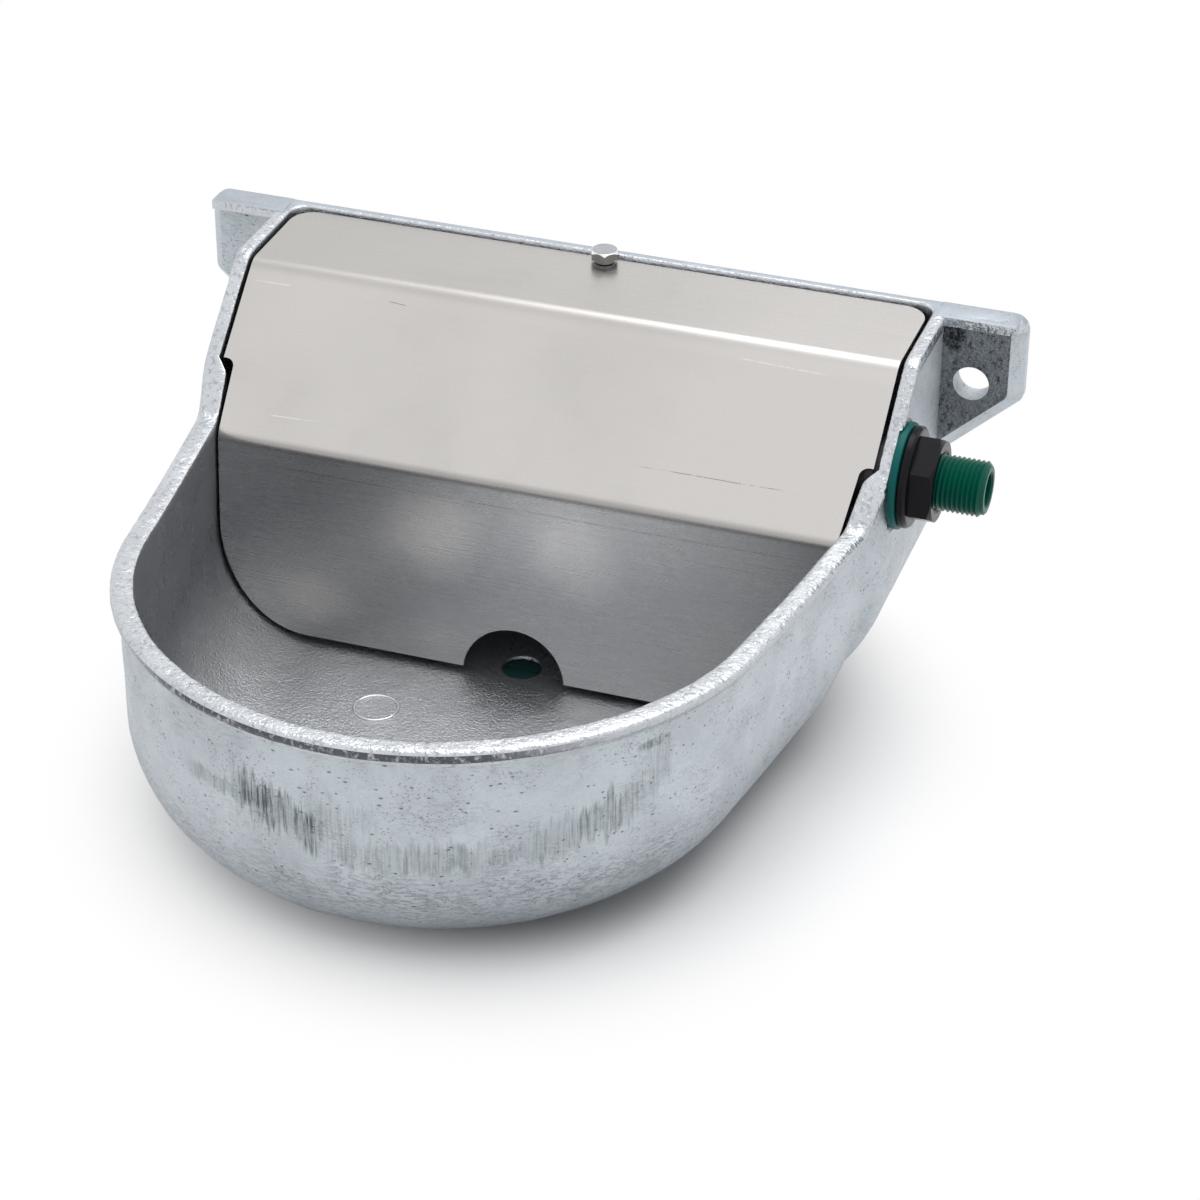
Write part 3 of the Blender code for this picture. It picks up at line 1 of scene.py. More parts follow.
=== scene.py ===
"""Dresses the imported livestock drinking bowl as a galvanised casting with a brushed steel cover.

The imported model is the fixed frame. Each sub-assembly below is a class whose fields are its sizes
in metres, in the frame's own axes: the wall is y = 0, the bowl's middle is x = 0 and the bolt
holes lie at z = 0, with +Z up and the inlet at +X.
"""

from __future__ import annotations

import logging
import math
from dataclasses import dataclass
from enum import Enum
from typing import Callable, Iterable, Sequence, Union

import bmesh
import bpy
import numpy as np
from mathutils import Matrix, Vector, noise


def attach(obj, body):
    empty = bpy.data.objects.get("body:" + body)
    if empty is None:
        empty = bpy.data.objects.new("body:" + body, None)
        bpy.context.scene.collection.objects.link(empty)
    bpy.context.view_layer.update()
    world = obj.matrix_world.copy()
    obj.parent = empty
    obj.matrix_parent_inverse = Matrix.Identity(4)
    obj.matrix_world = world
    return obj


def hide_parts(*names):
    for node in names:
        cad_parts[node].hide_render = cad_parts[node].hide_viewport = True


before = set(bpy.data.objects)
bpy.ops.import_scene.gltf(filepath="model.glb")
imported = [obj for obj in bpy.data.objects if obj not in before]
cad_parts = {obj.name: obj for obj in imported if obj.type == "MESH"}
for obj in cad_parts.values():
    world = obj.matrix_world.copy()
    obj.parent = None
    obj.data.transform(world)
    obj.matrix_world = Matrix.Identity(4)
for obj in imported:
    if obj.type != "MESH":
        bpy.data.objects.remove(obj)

LOG = logging.getLogger("drinking_bowl")
Number = Union[int, float]
Point = tuple[float, float]


# Shader and geometry trees as expressions


class Signal:
    """A node socket that takes part in arithmetic and adds its Math nodes as it goes."""

    def __init__(self, graph: "Graph", socket: bpy.types.NodeSocket) -> None:
        """Keep the socket and the graph that it belongs to."""
        self.graph = graph
        self.socket = socket

    def _math(self, operation: str, *others: "Operand", swapped: bool = False) -> "Signal":
        """Add one Math node.

        Args:
            operation: The node's operation.
            others: What follows this signal in the operation.
            swapped: Whether the first two operands change places.

        Returns:
            The node's result.
        """
        operands = [self, *others]
        if swapped:
            operands[0], operands[1] = operands[1], operands[0]
        sockets = dict(enumerate(operands))
        return self.graph.add("ShaderNodeMath", {"operation": operation}, sockets).out()

    def __add__(self, other: "Operand") -> "Signal":
        """Return the sum."""
        return self._math("ADD", other)

    __radd__ = __add__

    def __sub__(self, other: "Operand") -> "Signal":
        """Return the difference."""
        return self._math("SUBTRACT", other)

    def __rsub__(self, other: "Operand") -> "Signal":
        """Return the difference from another value."""
        return self._math("SUBTRACT", other, swapped=True)

    def __mul__(self, other: "Operand") -> "Signal":
        """Return the product."""
        return self._math("MULTIPLY", other)

    __rmul__ = __mul__

    def __truediv__(self, other: "Operand") -> "Signal":
        """Return the quotient."""
        return self._math("DIVIDE", other)

    def __rtruediv__(self, other: "Operand") -> "Signal":
        """Return another value divided by this signal."""
        return self._math("DIVIDE", other, swapped=True)

    def __abs__(self) -> "Signal":
        """Return the absolute value."""
        return self._math("ABSOLUTE")

    def power(self, exponent: "Operand") -> "Signal":
        """Return this signal raised to a power."""
        return self._math("POWER", exponent)

    def largest(self, other: "Operand") -> "Signal":
        """Return the larger of two values."""
        return self._math("MAXIMUM", other)

    def smallest(self, other: "Operand") -> "Signal":
        """Return the smaller of two values."""
        return self._math("MINIMUM", other)

    def step(self, low: Number, high: Number, start: Number = 0.0, end: Number = 1.0) -> "Signal":
        """Ease from one value to another.

        Args:
            low: Where the result leaves its first value.
            high: Where it reaches its last value.
            start: The first value.
            end: The last value.

        Returns:
            The eased signal, held at its ends.
        """
        settings = {"interpolation_type": "SMOOTHSTEP"}
        sockets = {"Value": self, "From Min": low, "From Max": high, "To Min": start, "To Max": end}
        return self.graph.add("ShaderNodeMapRange", settings, sockets).out()


Operand = Union[Signal, Number]


class Made:
    """A node just made, whose outputs are asked for by name."""

    def __init__(self, graph: "Graph", node: bpy.types.Node) -> None:
        """Keep the node and its graph."""
        self.graph = graph
        self.node = node

    def out(self, name: Union[str, int, None] = None) -> Signal:
        """Return one output.

        Args:
            name: Its name or index, or None for the first one that is in use.

        Returns:
            The output as a signal.
        """
        if name is None:
            return Signal(self.graph, next(s for s in self.node.outputs if s.enabled))
        return Signal(self.graph, self.node.outputs[name])


class Graph:
    """Adds nodes to one shader or geometry tree."""

    def __init__(self, tree: bpy.types.NodeTree) -> None:
        """Keep the tree that nodes are added to."""
        self.tree = tree

    def add(self, kind: str, settings: dict | None = None, sockets: dict | None = None) -> Made:
        """Add a node.

        Args:
            kind: The node's type.
            settings: The node's own properties, set before its sockets.
            sockets: Values or signals by input name or index.

        Returns:
            The node that was made.
        """
        node = self.tree.nodes.new(kind)
        for name, value in (settings or {}).items():
            setattr(node, name, value)
        enabled = [socket for socket in node.inputs if socket.enabled]
        for name, value in (sockets or {}).items():
            if isinstance(name, int):
                target = node.inputs[name]
            else:
                target = next((s for s in enabled if s.name == name), None) or node.inputs[name]
            if isinstance(value, Signal):
                self.tree.links.new(value.socket, target)
            elif value is not None:
                target.default_value = value
        return Made(self, node)


class Surface(Graph):
    """The shader tree of one material, with the patterns that several finishes use."""

    def __init__(self, name: str) -> None:
        """Make the material and keep its Principled shader.

        Args:
            name: The material's name.
        """
        self.material = bpy.data.materials.new(name)
        self.material.use_nodes = True
        super().__init__(self.material.node_tree)
        self.shader = self.material.node_tree.nodes["Principled BSDF"]
        self.place = self.add("ShaderNodeTexCoord").out("Object")

    def scaled(self, scale: tuple[float, float, float],
               turn: tuple[float, float, float] = (0.0, 0.0, 0.0)) -> Signal:
        """Stretch the object coordinates.

        Args:
            scale: Cells per metre along each axis.
            turn: A turn in degrees that follows the stretch.

        Returns:
            The coordinates for a pattern.
        """
        sockets = {"Vector": self.place, "Scale": scale,
                   "Rotation": tuple(math.radians(angle) for angle in turn)}
        return self.add("ShaderNodeMapping", {"vector_type": "POINT"}, sockets).out()

    def grain(self, scale: Number, detail: Number = 4.0, roughness: Number = 0.55,
              place: Signal | None = None, distortion: Number = 0.0) -> Signal:
        """Return fractal noise.

        Args:
            scale: Cells per metre.
            detail: Octaves.
            roughness: How strong the finer octaves are.
            place: Coordinates, or the object's own.
            distortion: How far the noise bends itself.

        Returns:
            The noise, about 0.5 on average.
        """
        sockets = {"Vector": place or self.place, "Scale": scale, "Detail": detail,
                   "Roughness": roughness, "Distortion": distortion}
        return self.add("ShaderNodeTexNoise", None, sockets).out("Fac")

    def cells(self, scale: Number, place: Signal) -> Signal:
        """Return the distance to the cells of a Voronoi pattern, in cell sizes."""
        sockets = {"Vector": place, "Scale": scale}
        return self.add("ShaderNodeTexVoronoi", None, sockets).out("Distance")

    def axis(self, name: str) -> Signal:
        """Return one object coordinate in metres."""
        return self.add("ShaderNodeSeparateXYZ", None, {"Vector": self.place}).out(name)

    def blend(self, share: Operand, first: Union[Signal, tuple],
              second: Union[Signal, tuple]) -> Signal:
        """Mix two colours.

        Args:
            share: How much of the second colour shows.
            first: The first colour, a signal or linear red, green and blue.
            second: The second colour.

        Returns:
            The mixed colour.
        """
        colours = [value if isinstance(value, Signal) else (*value, 1.0)
                   for value in (first, second)]
        sockets = {0: share, 6: colours[0], 7: colours[1]}
        return self.add("ShaderNodeMix", {"data_type": "RGBA"}, sockets).out(2)

    def bumped(self, height: Signal, distance: Number, strength: Number = 1.0,
               below: Signal | None = None) -> Signal:
        """Return a normal that follows a height over a distance in metres."""
        sockets = {"Height": height, "Distance": distance, "Strength": strength, "Normal": below}
        return self.add("ShaderNodeBump", None, sockets).out()

    def finish(self, **sockets: Union[Signal, Number, tuple]) -> bpy.types.Material:
        """Set the shader's sockets.

        Args:
            sockets: Values or signals by socket name, with underscores for spaces.

        Returns:
            The finished material.
        """
        for name, value in sockets.items():
            target = self.shader.inputs[name.replace("_", " ")]
            if isinstance(value, Signal):
                self.tree.links.new(value.socket, target)
            else:
                target.default_value = (*value, 1.0) if isinstance(value, tuple) else value
        return self.material


# Finishes


class Zone(Enum):
    """Where on the casting a face lies, which decides how the zinc looks there."""

    SKIN = 0
    INSIDE = 1
    BEAD = 2
    # UNDER is painted shade: a dark band on the bead's lower half for the shadow and dark
    # reflection under it
    UNDER = 3
    # WEB is painted reflection: the right ear's dark front stands in for the dark surroundings it
    # reflects
    WEB = 4
    TOP = 5


@dataclass(frozen=True)
class Scuff:
    """A patch of upright scuff streaks on the bowl's front, centred at x and z in metres."""

    x: float
    z: float
    half_width: float
    half_height: float
    tilt: float
    strength: float


SCUFFS = (
    Scuff(-0.0170, -0.0455, 0.0210, 0.0105, -0.30, 1.15),
    Scuff(-0.0400, -0.0450, 0.0180, 0.0042, 0.00, 0.45),
    Scuff(0.0050, -0.0440, 0.0180, 0.0110, -0.10, 0.35),
    Scuff(0.0260, -0.0560, 0.0320, 0.0080, -0.02, 0.60),
    Scuff(0.0800, -0.0500, 0.0190, 0.0100, 0.32, 0.70),
    Scuff(0.0630, -0.0560, 0.0160, 0.0040, 0.10, 0.40),
    Scuff(0.0978, -0.0360, 0.0040, 0.0120, 0.00, 0.30),
)
BLOT = (0.0971, -0.0264, 0.0046)
SCUFF_COLOUR = (0.10, 0.125, 0.135)
RUBBED_GROUND = (0.66, 0.70, 0.72)
CRUST_COLOUR = (0.03, 0.03, 0.033)
SHADE_LEVEL = 0.80


@dataclass(frozen=True)
class ZincFinish:
    """Hot-dip zinc on a sand casting: a matt skin, or a brighter and rougher one.

    Colours are linear. Scales are in cells per metre, and depths in metres. A crust is the x, z
    and radius of a burnt-on patch, and side_colour takes over towards the bowl's two sides. worn
    adds flow marks and scuffs, and a painted shade that darkens the skin towards the underside.
    """

    name: str
    colour: tuple[float, float, float]
    dark: tuple[float, float, float]
    metallic: float
    roughness: float
    roughness_spread: float
    sand_scale: float
    sand_depth: float
    wave_scale: float
    wave_depth: float
    specks: float
    ridges: float = 0.0
    streaks: float = 0.0
    side_colour: tuple[float, float, float] | None = None
    # worn brings real wear and a painted shade towards the underside
    worn: bool = False
    crust: tuple[float, float, float] | None = None

    def material(self) -> bpy.types.Material:
        """Build the material.

        Returns:
            The zinc of this zone.
        """
        made = Surface(self.name)
        lie = made.scaled((1.0, 1.0, 1.5), (12.0, 18.0, 0.0))
        sand = made.grain(self.sand_scale, 3.0, 0.6, lie, 0.6)
        wave = made.grain(self.wave_scale, 3.0, 0.5, None, 0.4)
        cloud = made.grain(38.0, 5.0, 0.6)
        speck = self._specks(made)
        shade = cloud.step(0.34, 0.66) * 0.6 + sand.step(0.30, 0.62) * 0.35
        colour = made.blend(shade, self.colour, tuple(SHADE_LEVEL * value for value in self.colour))
        rough = self.roughness + (cloud - 0.5) * self.roughness_spread + speck * 0.15
        height = sand - speck * 0.8
        if self.side_colour:
            aside = abs(made.axis("X")).step(0.050, 0.100)
            colour = made.blend(aside, colour, self.side_colour)
        if self.ridges:
            across = made.grain(1.0, 2.0, 0.5, made.scaled((820.0, 820.0, 260.0)))
            height = height + across * self.ridges
        if self.streaks:
            streak = made.grain(1.0, 4.0, 0.65, made.scaled((520.0, 520.0, 330.0)), 0.6)
            colour = made.blend(streak.step(0.50, 0.68) * self.streaks, colour, self.dark)
        if self.worn:
            # Painted shade: the skin darkens towards the underside, and more at its foot.
            low, foot = made.axis("Z").step(-0.050, -0.100), made.axis("Z").step(-0.086, -0.104)
            colour = made.blend(low * 0.46 + foot * 0.34, colour, self.dark)
            dashes = self._flow_marks(made)
            colour = made.blend(dashes * 0.27, colour, self.dark)
            height = height - dashes * 1.8
            scuff, rubbed = self._scuffs(made)
            colour = made.blend(rubbed, colour, RUBBED_GROUND)
            colour = made.blend(scuff, colour, SCUFF_COLOUR)
            rough = rough + scuff * 0.08
        colour = made.blend(speck * 0.8, colour, self.dark)
        if self.crust:
            crust = self._crust(made, self.crust)
            crumbs = made.grain(900.0, 3.0, 0.7)
            colour = made.blend(crust * crumbs.step(0.60, 0.46), colour, CRUST_COLOUR)
            height = height + crust * crumbs * 5.0
            rough = rough + crust * 0.2
        normal = made.bumped(wave, self.wave_depth)
        normal = made.bumped(height, self.sand_depth, 1.0, normal)
        return made.finish(Base_Color=colour, Metallic=self.metallic, Roughness=rough,
                           Normal=normal)

    def _specks(self, made: Surface) -> Signal:
        """Lay out the pin holes and ash specks in loose swarms.

        Args:
            made: The material.

        Returns:
            How much of a speck shows.
        """
        large = made.cells(430.0, made.scaled((0.5, 0.8, 1.1), (25.0, 40.0, 10.0)))
        small = made.cells(1150.0, made.scaled((0.6, 0.9, 1.0), (5.0, 30.0, 50.0)))
        swarm = made.grain(120.0, 3.0, 0.6)
        coarse = large.step(0.11, 0.21, 1.0, 0.0) * swarm.step(0.44, 0.58)
        fine = small.step(0.16, 0.32, 1.0, 0.0) * made.grain(75.0, 3.0, 0.65).step(0.46, 0.62)
        return coarse.largest(fine * 0.7) * self.specks

    @staticmethod
    def _flow_marks(made: Surface) -> Signal:
        """Lay out the short lying marks of sand flow, dense low on the bowl and sparse above.

        Args:
            made: The material.

        Returns:
            How much of a mark shows.
        """
        dash = made.grain(1.0, 3.0, 0.6, made.scaled((300.0, 300.0, 900.0)), 0.8)
        low = made.axis("Z").step(-0.055, -0.083)
        patch = made.grain(48.0, 3.0, 0.6).step(0.44, 0.62) * 0.35
        return dash.step(0.50, 0.63) * (low * 0.85 + patch).smallest(1.0)

    @staticmethod
    def _crust(made: Surface, place: tuple[float, float, float]) -> Signal:
        """Lay out a ragged patch of burnt-on sand.

        Args:
            made: The material.
            place: Its x, z and radius in metres.

        Returns:
            How much of the crust shows.
        """
        x, z, radius = place
        ragged = (made.grain(260.0, 4.0, 0.7) - 0.5) * radius * 2.6
        across, up = made.axis("X") - x, made.axis("Z") - z
        distance = (across * across + up * up).power(0.5) + ragged
        return distance.step(radius * 0.55, radius, 1.0, 0.0)

    @staticmethod
    def _scuffs(made: Surface) -> tuple[Signal, Signal]:
        """Lay out the scuffs across the bowl's front.

        Args:
            made: The material.

        Returns:
            How much of the dark upright streaks shows, and of the bright rubbed ground under them.
        """
        along, up = made.axis("X"), made.axis("Z")
        streak = made.grain(1.0, 4.0, 0.7, made.scaled((1200.0, 1200.0, 50.0)))
        ragged = made.grain(1.0, 3.0, 0.7, made.scaled((330.0, 330.0, 30.0))) - 0.5
        blotch = made.grain(70.0, 4.0, 0.6)
        total = None
        for patch in SCUFFS:
            inside = abs(along - patch.x).step(patch.half_width * 0.5, patch.half_width, 1.0, 0.0)
            level = up - patch.z - (along - patch.x) * patch.tilt + ragged * patch.half_height * 2.6
            inside = inside * abs(level).step(patch.half_height * 0.45, patch.half_height, 1.0, 0.0)
            mark = inside * patch.strength
            total = mark if total is None else total.largest(mark)
        front = made.axis("Y").step(-0.20, -0.23)
        worn = (streak * 0.65 + blotch * 0.35).step(0.42, 0.62) * 0.85 + 0.22
        across, rise = along - BLOT[0], (up - BLOT[1]) * 1.9
        spread = (across * across + rise * rise).power(0.5) + ragged * BLOT[2] * 0.7
        total = total.largest(spread.step(BLOT[2] * 0.5, BLOT[2], 0.8, 0.0))
        rubbed = (up + 0.054).step(0.0, 0.012, 1.0, 0.0) * (up + 0.068).step(0.0, 0.006)
        bright = rubbed * streak.step(0.50, 0.68) * made.grain(30.0, 3.0, 0.6).step(0.42, 0.56)
        return total * worn * front, bright * front * 0.8


@dataclass(frozen=True)
class HairScratch:
    """A thin scratch on the cover, nearly along X, centred at x and z in metres."""

    x: float
    z: float
    half_length: float
    tilt: float
    bright: bool


HAIR_SCRATCHES = (
    HairScratch(-0.1172, 0.0201, 0.0085, 0.010, True),
    HairScratch(-0.0933, -0.0144, 0.0105, 0.020, True),
    HairScratch(0.0856, 0.0202, 0.0190, -0.022, True),
    HairScratch(-0.0660, 0.0200, 0.0040, -0.050, False),
    HairScratch(0.0000, -0.0311, 0.1260, 0.002, False),
    HairScratch(0.0700, -0.0110, 0.0300, 0.004, False),
)


@dataclass(frozen=True)
class PaintedReflection:
    """A soft painted reflection on the cover's lower facet, centred at x and z in metres: a
    brighter, warmer patch that stands in for lamps reflected off the bowl's inside.
    """

    x: float
    z: float
    half_width: float
    half_height: float
    strength: float


PAINTED_REFLECTIONS = (
    PaintedReflection(-0.0350, -0.0480, 0.0220, 0.0200, 0.62),
    PaintedReflection(0.0210, -0.0470, 0.0200, 0.0220, 0.44),
    PaintedReflection(-0.0790, -0.0830, 0.0210, 0.0120, 0.36),
    PaintedReflection(0.0860, -0.0700, 0.0300, 0.0200, 0.15),
)


@dataclass(frozen=True)
class BrushedFinish:
    """Rolled and brushed stainless sheet, its lines along X.

    The top facet starts at top_z and the second bend lies at fold_z, in metres. The colour holds
    painted shade along the second bend and on the top facet's left, painted light towards the
    right, and soft patches of painted reflection on the lower facet.
    """

    name: str = "brushed_stainless_sheet"
    colour: tuple[float, float, float] = (0.63, 0.61, 0.592)
    roughness: float = 0.27
    line_depth: float = 0.000006
    dent_depth: float = 0.00045
    top_z: float = 0.0250
    fold_z: float = -0.0230
    fold_shade_half: float = 0.0027
    reflection_colour: tuple[float, float, float] = (1.0, 0.94, 0.87)
    fold_shade_colour: tuple[float, float, float] = (0.16, 0.15, 0.145)
    bright_colour: tuple[float, float, float] = (0.95, 0.94, 0.92)
    dull_colour: tuple[float, float, float] = (0.10, 0.095, 0.09)

    def material(self) -> bpy.types.Material:
        """Build the material.

        Returns:
            The sheet's material.
        """
        made = Surface(self.name)
        fine = made.grain(1.0, 3.0, 0.6, made.scaled((46.0, 5200.0, 5200.0)))
        long_lines = made.grain(1.0, 2.0, 0.5, made.scaled((9.0, 900.0, 900.0)))
        cloud = made.grain(14.0, 3.0, 0.55)
        blot = made.grain(55.0, 4.0, 0.6)
        bright, dull = self._scratches(made)
        up = made.axis("Z")
        shade = fine.step(0.25, 0.75) * 0.16 + cloud.step(0.3, 0.7) * 0.30
        shade = shade + blot.step(0.5, 0.75) * 0.12
        along = made.axis("X")
        # Painted shade and light: the top facet darker towards the left, and the sheet lighter
        # towards the right.
        on_top = up.step(self.top_z - 0.003, self.top_z)
        shade = shade + on_top * along.step(-0.12, 0.10, 0.85, 0.30)
        shade = shade - along.step(0.020, 0.100) * 0.45
        colour = made.blend(shade, self.colour, tuple(SHADE_LEVEL * value for value in self.colour))
        # Painted reflection: soft warm patches on the lower facet stand in for lamps seen in it.
        colour = made.blend(self._painted_reflections(made), colour, self.reflection_colour)
        # Painted shade: a dark band along the second bend stands in for the dark reflection there.
        fold = abs(up - self.fold_z).step(self.fold_shade_half * 0.2, self.fold_shade_half, 1.0, 0.0)
        colour = made.blend(fold * 0.46, colour, self.fold_shade_colour)
        colour = made.blend(bright * 0.55, colour, self.bright_colour)
        colour = made.blend(dull * 0.6, colour, self.dull_colour)
        bend = up.step(self.top_z - 0.006, self.top_z - 0.004)
        bend = bend * up.step(self.top_z, self.top_z + 0.001, 1.0, 0.0)
        rough = self.roughness + bend * 0.10 + (long_lines - 0.5) * 0.10
        rough = rough + (fine - 0.5) * 0.10 + (blot - 0.5) * 0.08
        normal = made.bumped(made.grain(9.0, 2.0, 0.5), self.dent_depth)
        normal = made.bumped(fine + long_lines * 0.4 - bright * 2.0, self.line_depth, 1.0, normal)
        return made.finish(Base_Color=colour, Metallic=1.0, Roughness=rough, Normal=normal)

    @staticmethod
    def _painted_reflections(made: Surface) -> Signal:
        """Lay out the painted reflections: soft, brighter patches of the lower facet.

        Args:
            made: The material.

        Returns:
            How much of a patch shows.
        """
        along, up = made.axis("X"), made.axis("Z")
        wander = (made.grain(45.0, 2.0) - 0.5) * 0.7
        total = None
        for patch in PAINTED_REFLECTIONS:
            across = (along - patch.x) / patch.half_width
            rise = (up - patch.z) / patch.half_height
            spread = (across * across + rise * rise).power(0.5) + wander
            spot = spread.step(0.15, 1.15, patch.strength, 0.0)
            total = spot if total is None else total.largest(spot)
        return total

    @staticmethod
    def _scratches(made: Surface) -> tuple[Signal, Signal]:
        """Lay out the hair scratches.

        Args:
            made: The material.

        Returns:
            How much of the bright scratches shows, and of the dull ones.
        """
        along, up = made.axis("X"), made.axis("Z")
        wander = (made.grain(60.0, 2.0) - 0.5) * 0.0004
        broken = made.grain(1.0, 3.0, 0.7, made.scaled((160.0, 20.0, 20.0))).step(0.36, 0.52)
        totals: dict[bool, Signal | None] = {True: None, False: None}
        for mark in HAIR_SCRATCHES:
            offset = up - mark.z - (along - mark.x) * mark.tilt + wander
            line = abs(offset).step(0.00005, 0.00016, 1.0, 0.0) * broken
            ends = abs(along - mark.x).step(mark.half_length * 0.7, mark.half_length, 1.0, 0.0)
            line = line * ends
            before = totals[mark.bright]
            totals[mark.bright] = line if before is None else before.largest(line)
        return totals[True], totals[False]


@dataclass(frozen=True)
class MouldedFinish:
    """Plastic or rubber with the fine grain and slight flow marks of a mould."""

    name: str
    colour: tuple[float, float, float]
    roughness: float
    grain_scale: float = 1500.0
    grain_depth: float = 0.00004
    specular: float = 0.5
    dust: float = 0.12

    def material(self) -> bpy.types.Material:
        """Build the material.

        Returns:
            The moulding's material.
        """
        made = Surface(self.name)
        grain = made.grain(self.grain_scale, 3.0, 0.6)
        flow = made.grain(90.0, 3.0, 0.55, None, 1.5)
        dusty = tuple(value * 0.8 + 0.05 for value in self.colour)
        colour = made.blend(flow.step(0.35, 0.75) * self.dust, self.colour, dusty)
        rough = self.roughness + (flow - 0.5) * 0.12 + (grain - 0.5) * 0.06
        normal = made.bumped(grain + flow * 0.6, self.grain_depth)
        return made.finish(Base_Color=colour, Roughness=rough, Normal=normal,
                           Specular_IOR_Level=self.specular)


@dataclass(frozen=True)
class PlatedFinish:
    """Bright plated or turned steel of small fasteners."""

    name: str
    colour: tuple[float, float, float]
    roughness: float

    def material(self) -> bpy.types.Material:
        """Build the material.

        Returns:
            The plated steel.
        """
        made = Surface(self.name)
        fine = made.grain(2600.0, 3.0, 0.6)
        cloud = made.grain(300.0, 3.0, 0.55)
        colour = made.blend(cloud.step(0.4, 0.7) * 0.5, self.colour,
                            tuple(0.7 * value for value in self.colour))
        rough = self.roughness + (cloud - 0.5) * 0.16
        normal = made.bumped(fine + cloud, 0.00003)
        return made.finish(Base_Color=colour, Metallic=1.0, Roughness=rough, Normal=normal)


# Mesh helpers


def smooth_share(share: float) -> float:
    """Ease a share between 0 and 1 so that it starts and ends level."""
    share = min(max(share, 0.0), 1.0)
    return share * share * (3.0 - 2.0 * share)


def soft_lower(first: float, second: float, blend: float) -> float:
    """Return the lower of two heights, rounded where they meet."""
    share = min(max(0.5 + (second - first) / (2.0 * blend), 0.0), 1.0)
    return second + (first - second) * share - blend * share * (1.0 - share)


def arc(centre: Point, radius: float, start: float, end: float, steps: int) -> list[Point]:
    """Return points on an arc, both ends among them; angles are in radians."""
    angles = (start + (end - start) * index / steps for index in range(steps + 1))
    return [(centre[0] + radius * math.cos(a), centre[1] + radius * math.sin(a)) for a in angles]


def skin_rings(rings: Sequence[Sequence[Vector]], closed: bool = False) -> bmesh.types.BMesh:
    """Join rings of equal count.

    Args:
        rings: Rings of points, one after another along the surface.
        closed: Whether the last ring joins the first; if not, flat ends close the solid.

    Returns:
        The joined mesh.
    """
    bm = bmesh.new()
    loops = [[bm.verts.new(point) for point in ring] for ring in rings]
    pairs = list(zip(loops, loops[1:]))
    if closed:
        pairs.append((loops[-1], loops[0]))
    else:
        bm.faces.new(loops[0])
        bm.faces.new(loops[-1])
    for lower, upper in pairs:
        for index in range(len(lower)):
            after = (index + 1) % len(lower)
            bm.faces.new((lower[index], lower[after], upper[after], upper[index]))
    return bm


def ring_of(radius: float, height: float, segments: int, turn: float = 0.0) -> list[Vector]:
    """Return a ring of points about the local Z axis."""
    angles = (turn + math.tau * index / segments for index in range(segments))
    return [Vector((radius * math.cos(a), radius * math.sin(a), height)) for a in angles]


def turned(profile: Iterable[Point], segments: int = 64, closed: bool = False) -> bmesh.types.BMesh:
    """Return a solid turned from (radius, height) points, or a ring if the profile is closed."""
    return skin_rings([ring_of(radius, height, segments) for radius, height in profile], closed)


def extruded(points: Sequence[Point], start: float, end: float,
             upright: bool = False) -> bmesh.types.BMesh:
    """Make a plate from its outline.

    Args:
        points: The outline, in XY, or in XZ if upright.
        start: The depth of its first face.
        end: The depth of its last face.
        upright: Whether the plate stands in XZ.

    Returns:
        The closed plate.
    """
    def lift(point: Point, depth: float) -> Vector:
        """Place one outline point at a depth."""
        return Vector((point[0], depth, point[1]) if upright else (point[0], point[1], depth))
    return skin_rings([[lift(point, depth) for point in points] for depth in (start, end)])


def make_piece(name: str, bm: bmesh.types.BMesh, materials: Sequence[bpy.types.Material] = (),
               place: Matrix | None = None, sharp_degrees: float = 35.0) -> bpy.types.Object:
    """Turn a bmesh into an object at the origin, its place in its mesh.

    Args:
        name: The piece's name.
        bm: The mesh, which is used up.
        materials: Its material slots.
        place: Where the mesh goes.
        sharp_degrees: The angle beyond which an edge is sharp.

    Returns:
        The object.
    """
    if place:
        bm.transform(place)
    bmesh.ops.recalc_face_normals(bm, faces=bm.faces)
    mesh = bpy.data.meshes.new(name)
    bm.to_mesh(mesh)
    bm.free()
    for material in materials:
        mesh.materials.append(material)
    mesh.shade_smooth()
    mesh.set_sharp_from_angle(angle=math.radians(sharp_degrees))
    item = bpy.data.objects.new(name, mesh)
    bpy.context.scene.collection.objects.link(item)
    return item


def settle(item: bpy.types.Object, sharp_degrees: float | None = 35.0) -> None:
    """Replace an object's mesh by what its modifiers make of it, and drop them.

    Args:
        item: The object.
        sharp_degrees: The angle beyond which an edge is sharp, or None to keep the normals as made.
    """
    bpy.context.view_layer.update()
    result = item.evaluated_get(bpy.context.evaluated_depsgraph_get())
    mesh = bpy.data.meshes.new_from_object(result)
    item.modifiers.clear()
    item.data = mesh
    mesh.name = item.name
    if sharp_degrees is not None:
        mesh.shade_smooth()
        mesh.set_sharp_from_angle(angle=math.radians(sharp_degrees))


def combine(target: bpy.types.Object, tool: bpy.types.Object, operation: str) -> None:
    """Join, cut or intersect two objects.

    Args:
        target: The object that is changed.
        tool: The other object, which is used up.
        operation: UNION, DIFFERENCE or INTERSECT.
    """
    modifier = target.modifiers.new(operation.lower(), "BOOLEAN")
    modifier.operation = operation
    modifier.solver = "EXACT"
    modifier.object = tool
    settle(target)
    bpy.data.objects.remove(tool, do_unlink=True)


def close_gaps(item: bpy.types.Object) -> None:
    """Fill the small open triangles that a boolean leaves where surfaces graze each other.

    Args:
        item: The object whose mesh is closed.
    """
    bm = bmesh.new()
    bm.from_mesh(item.data)
    bmesh.ops.holes_fill(bm, edges=[edge for edge in bm.edges if edge.is_boundary], sides=8)
    bm.to_mesh(item.data)
    bm.free()


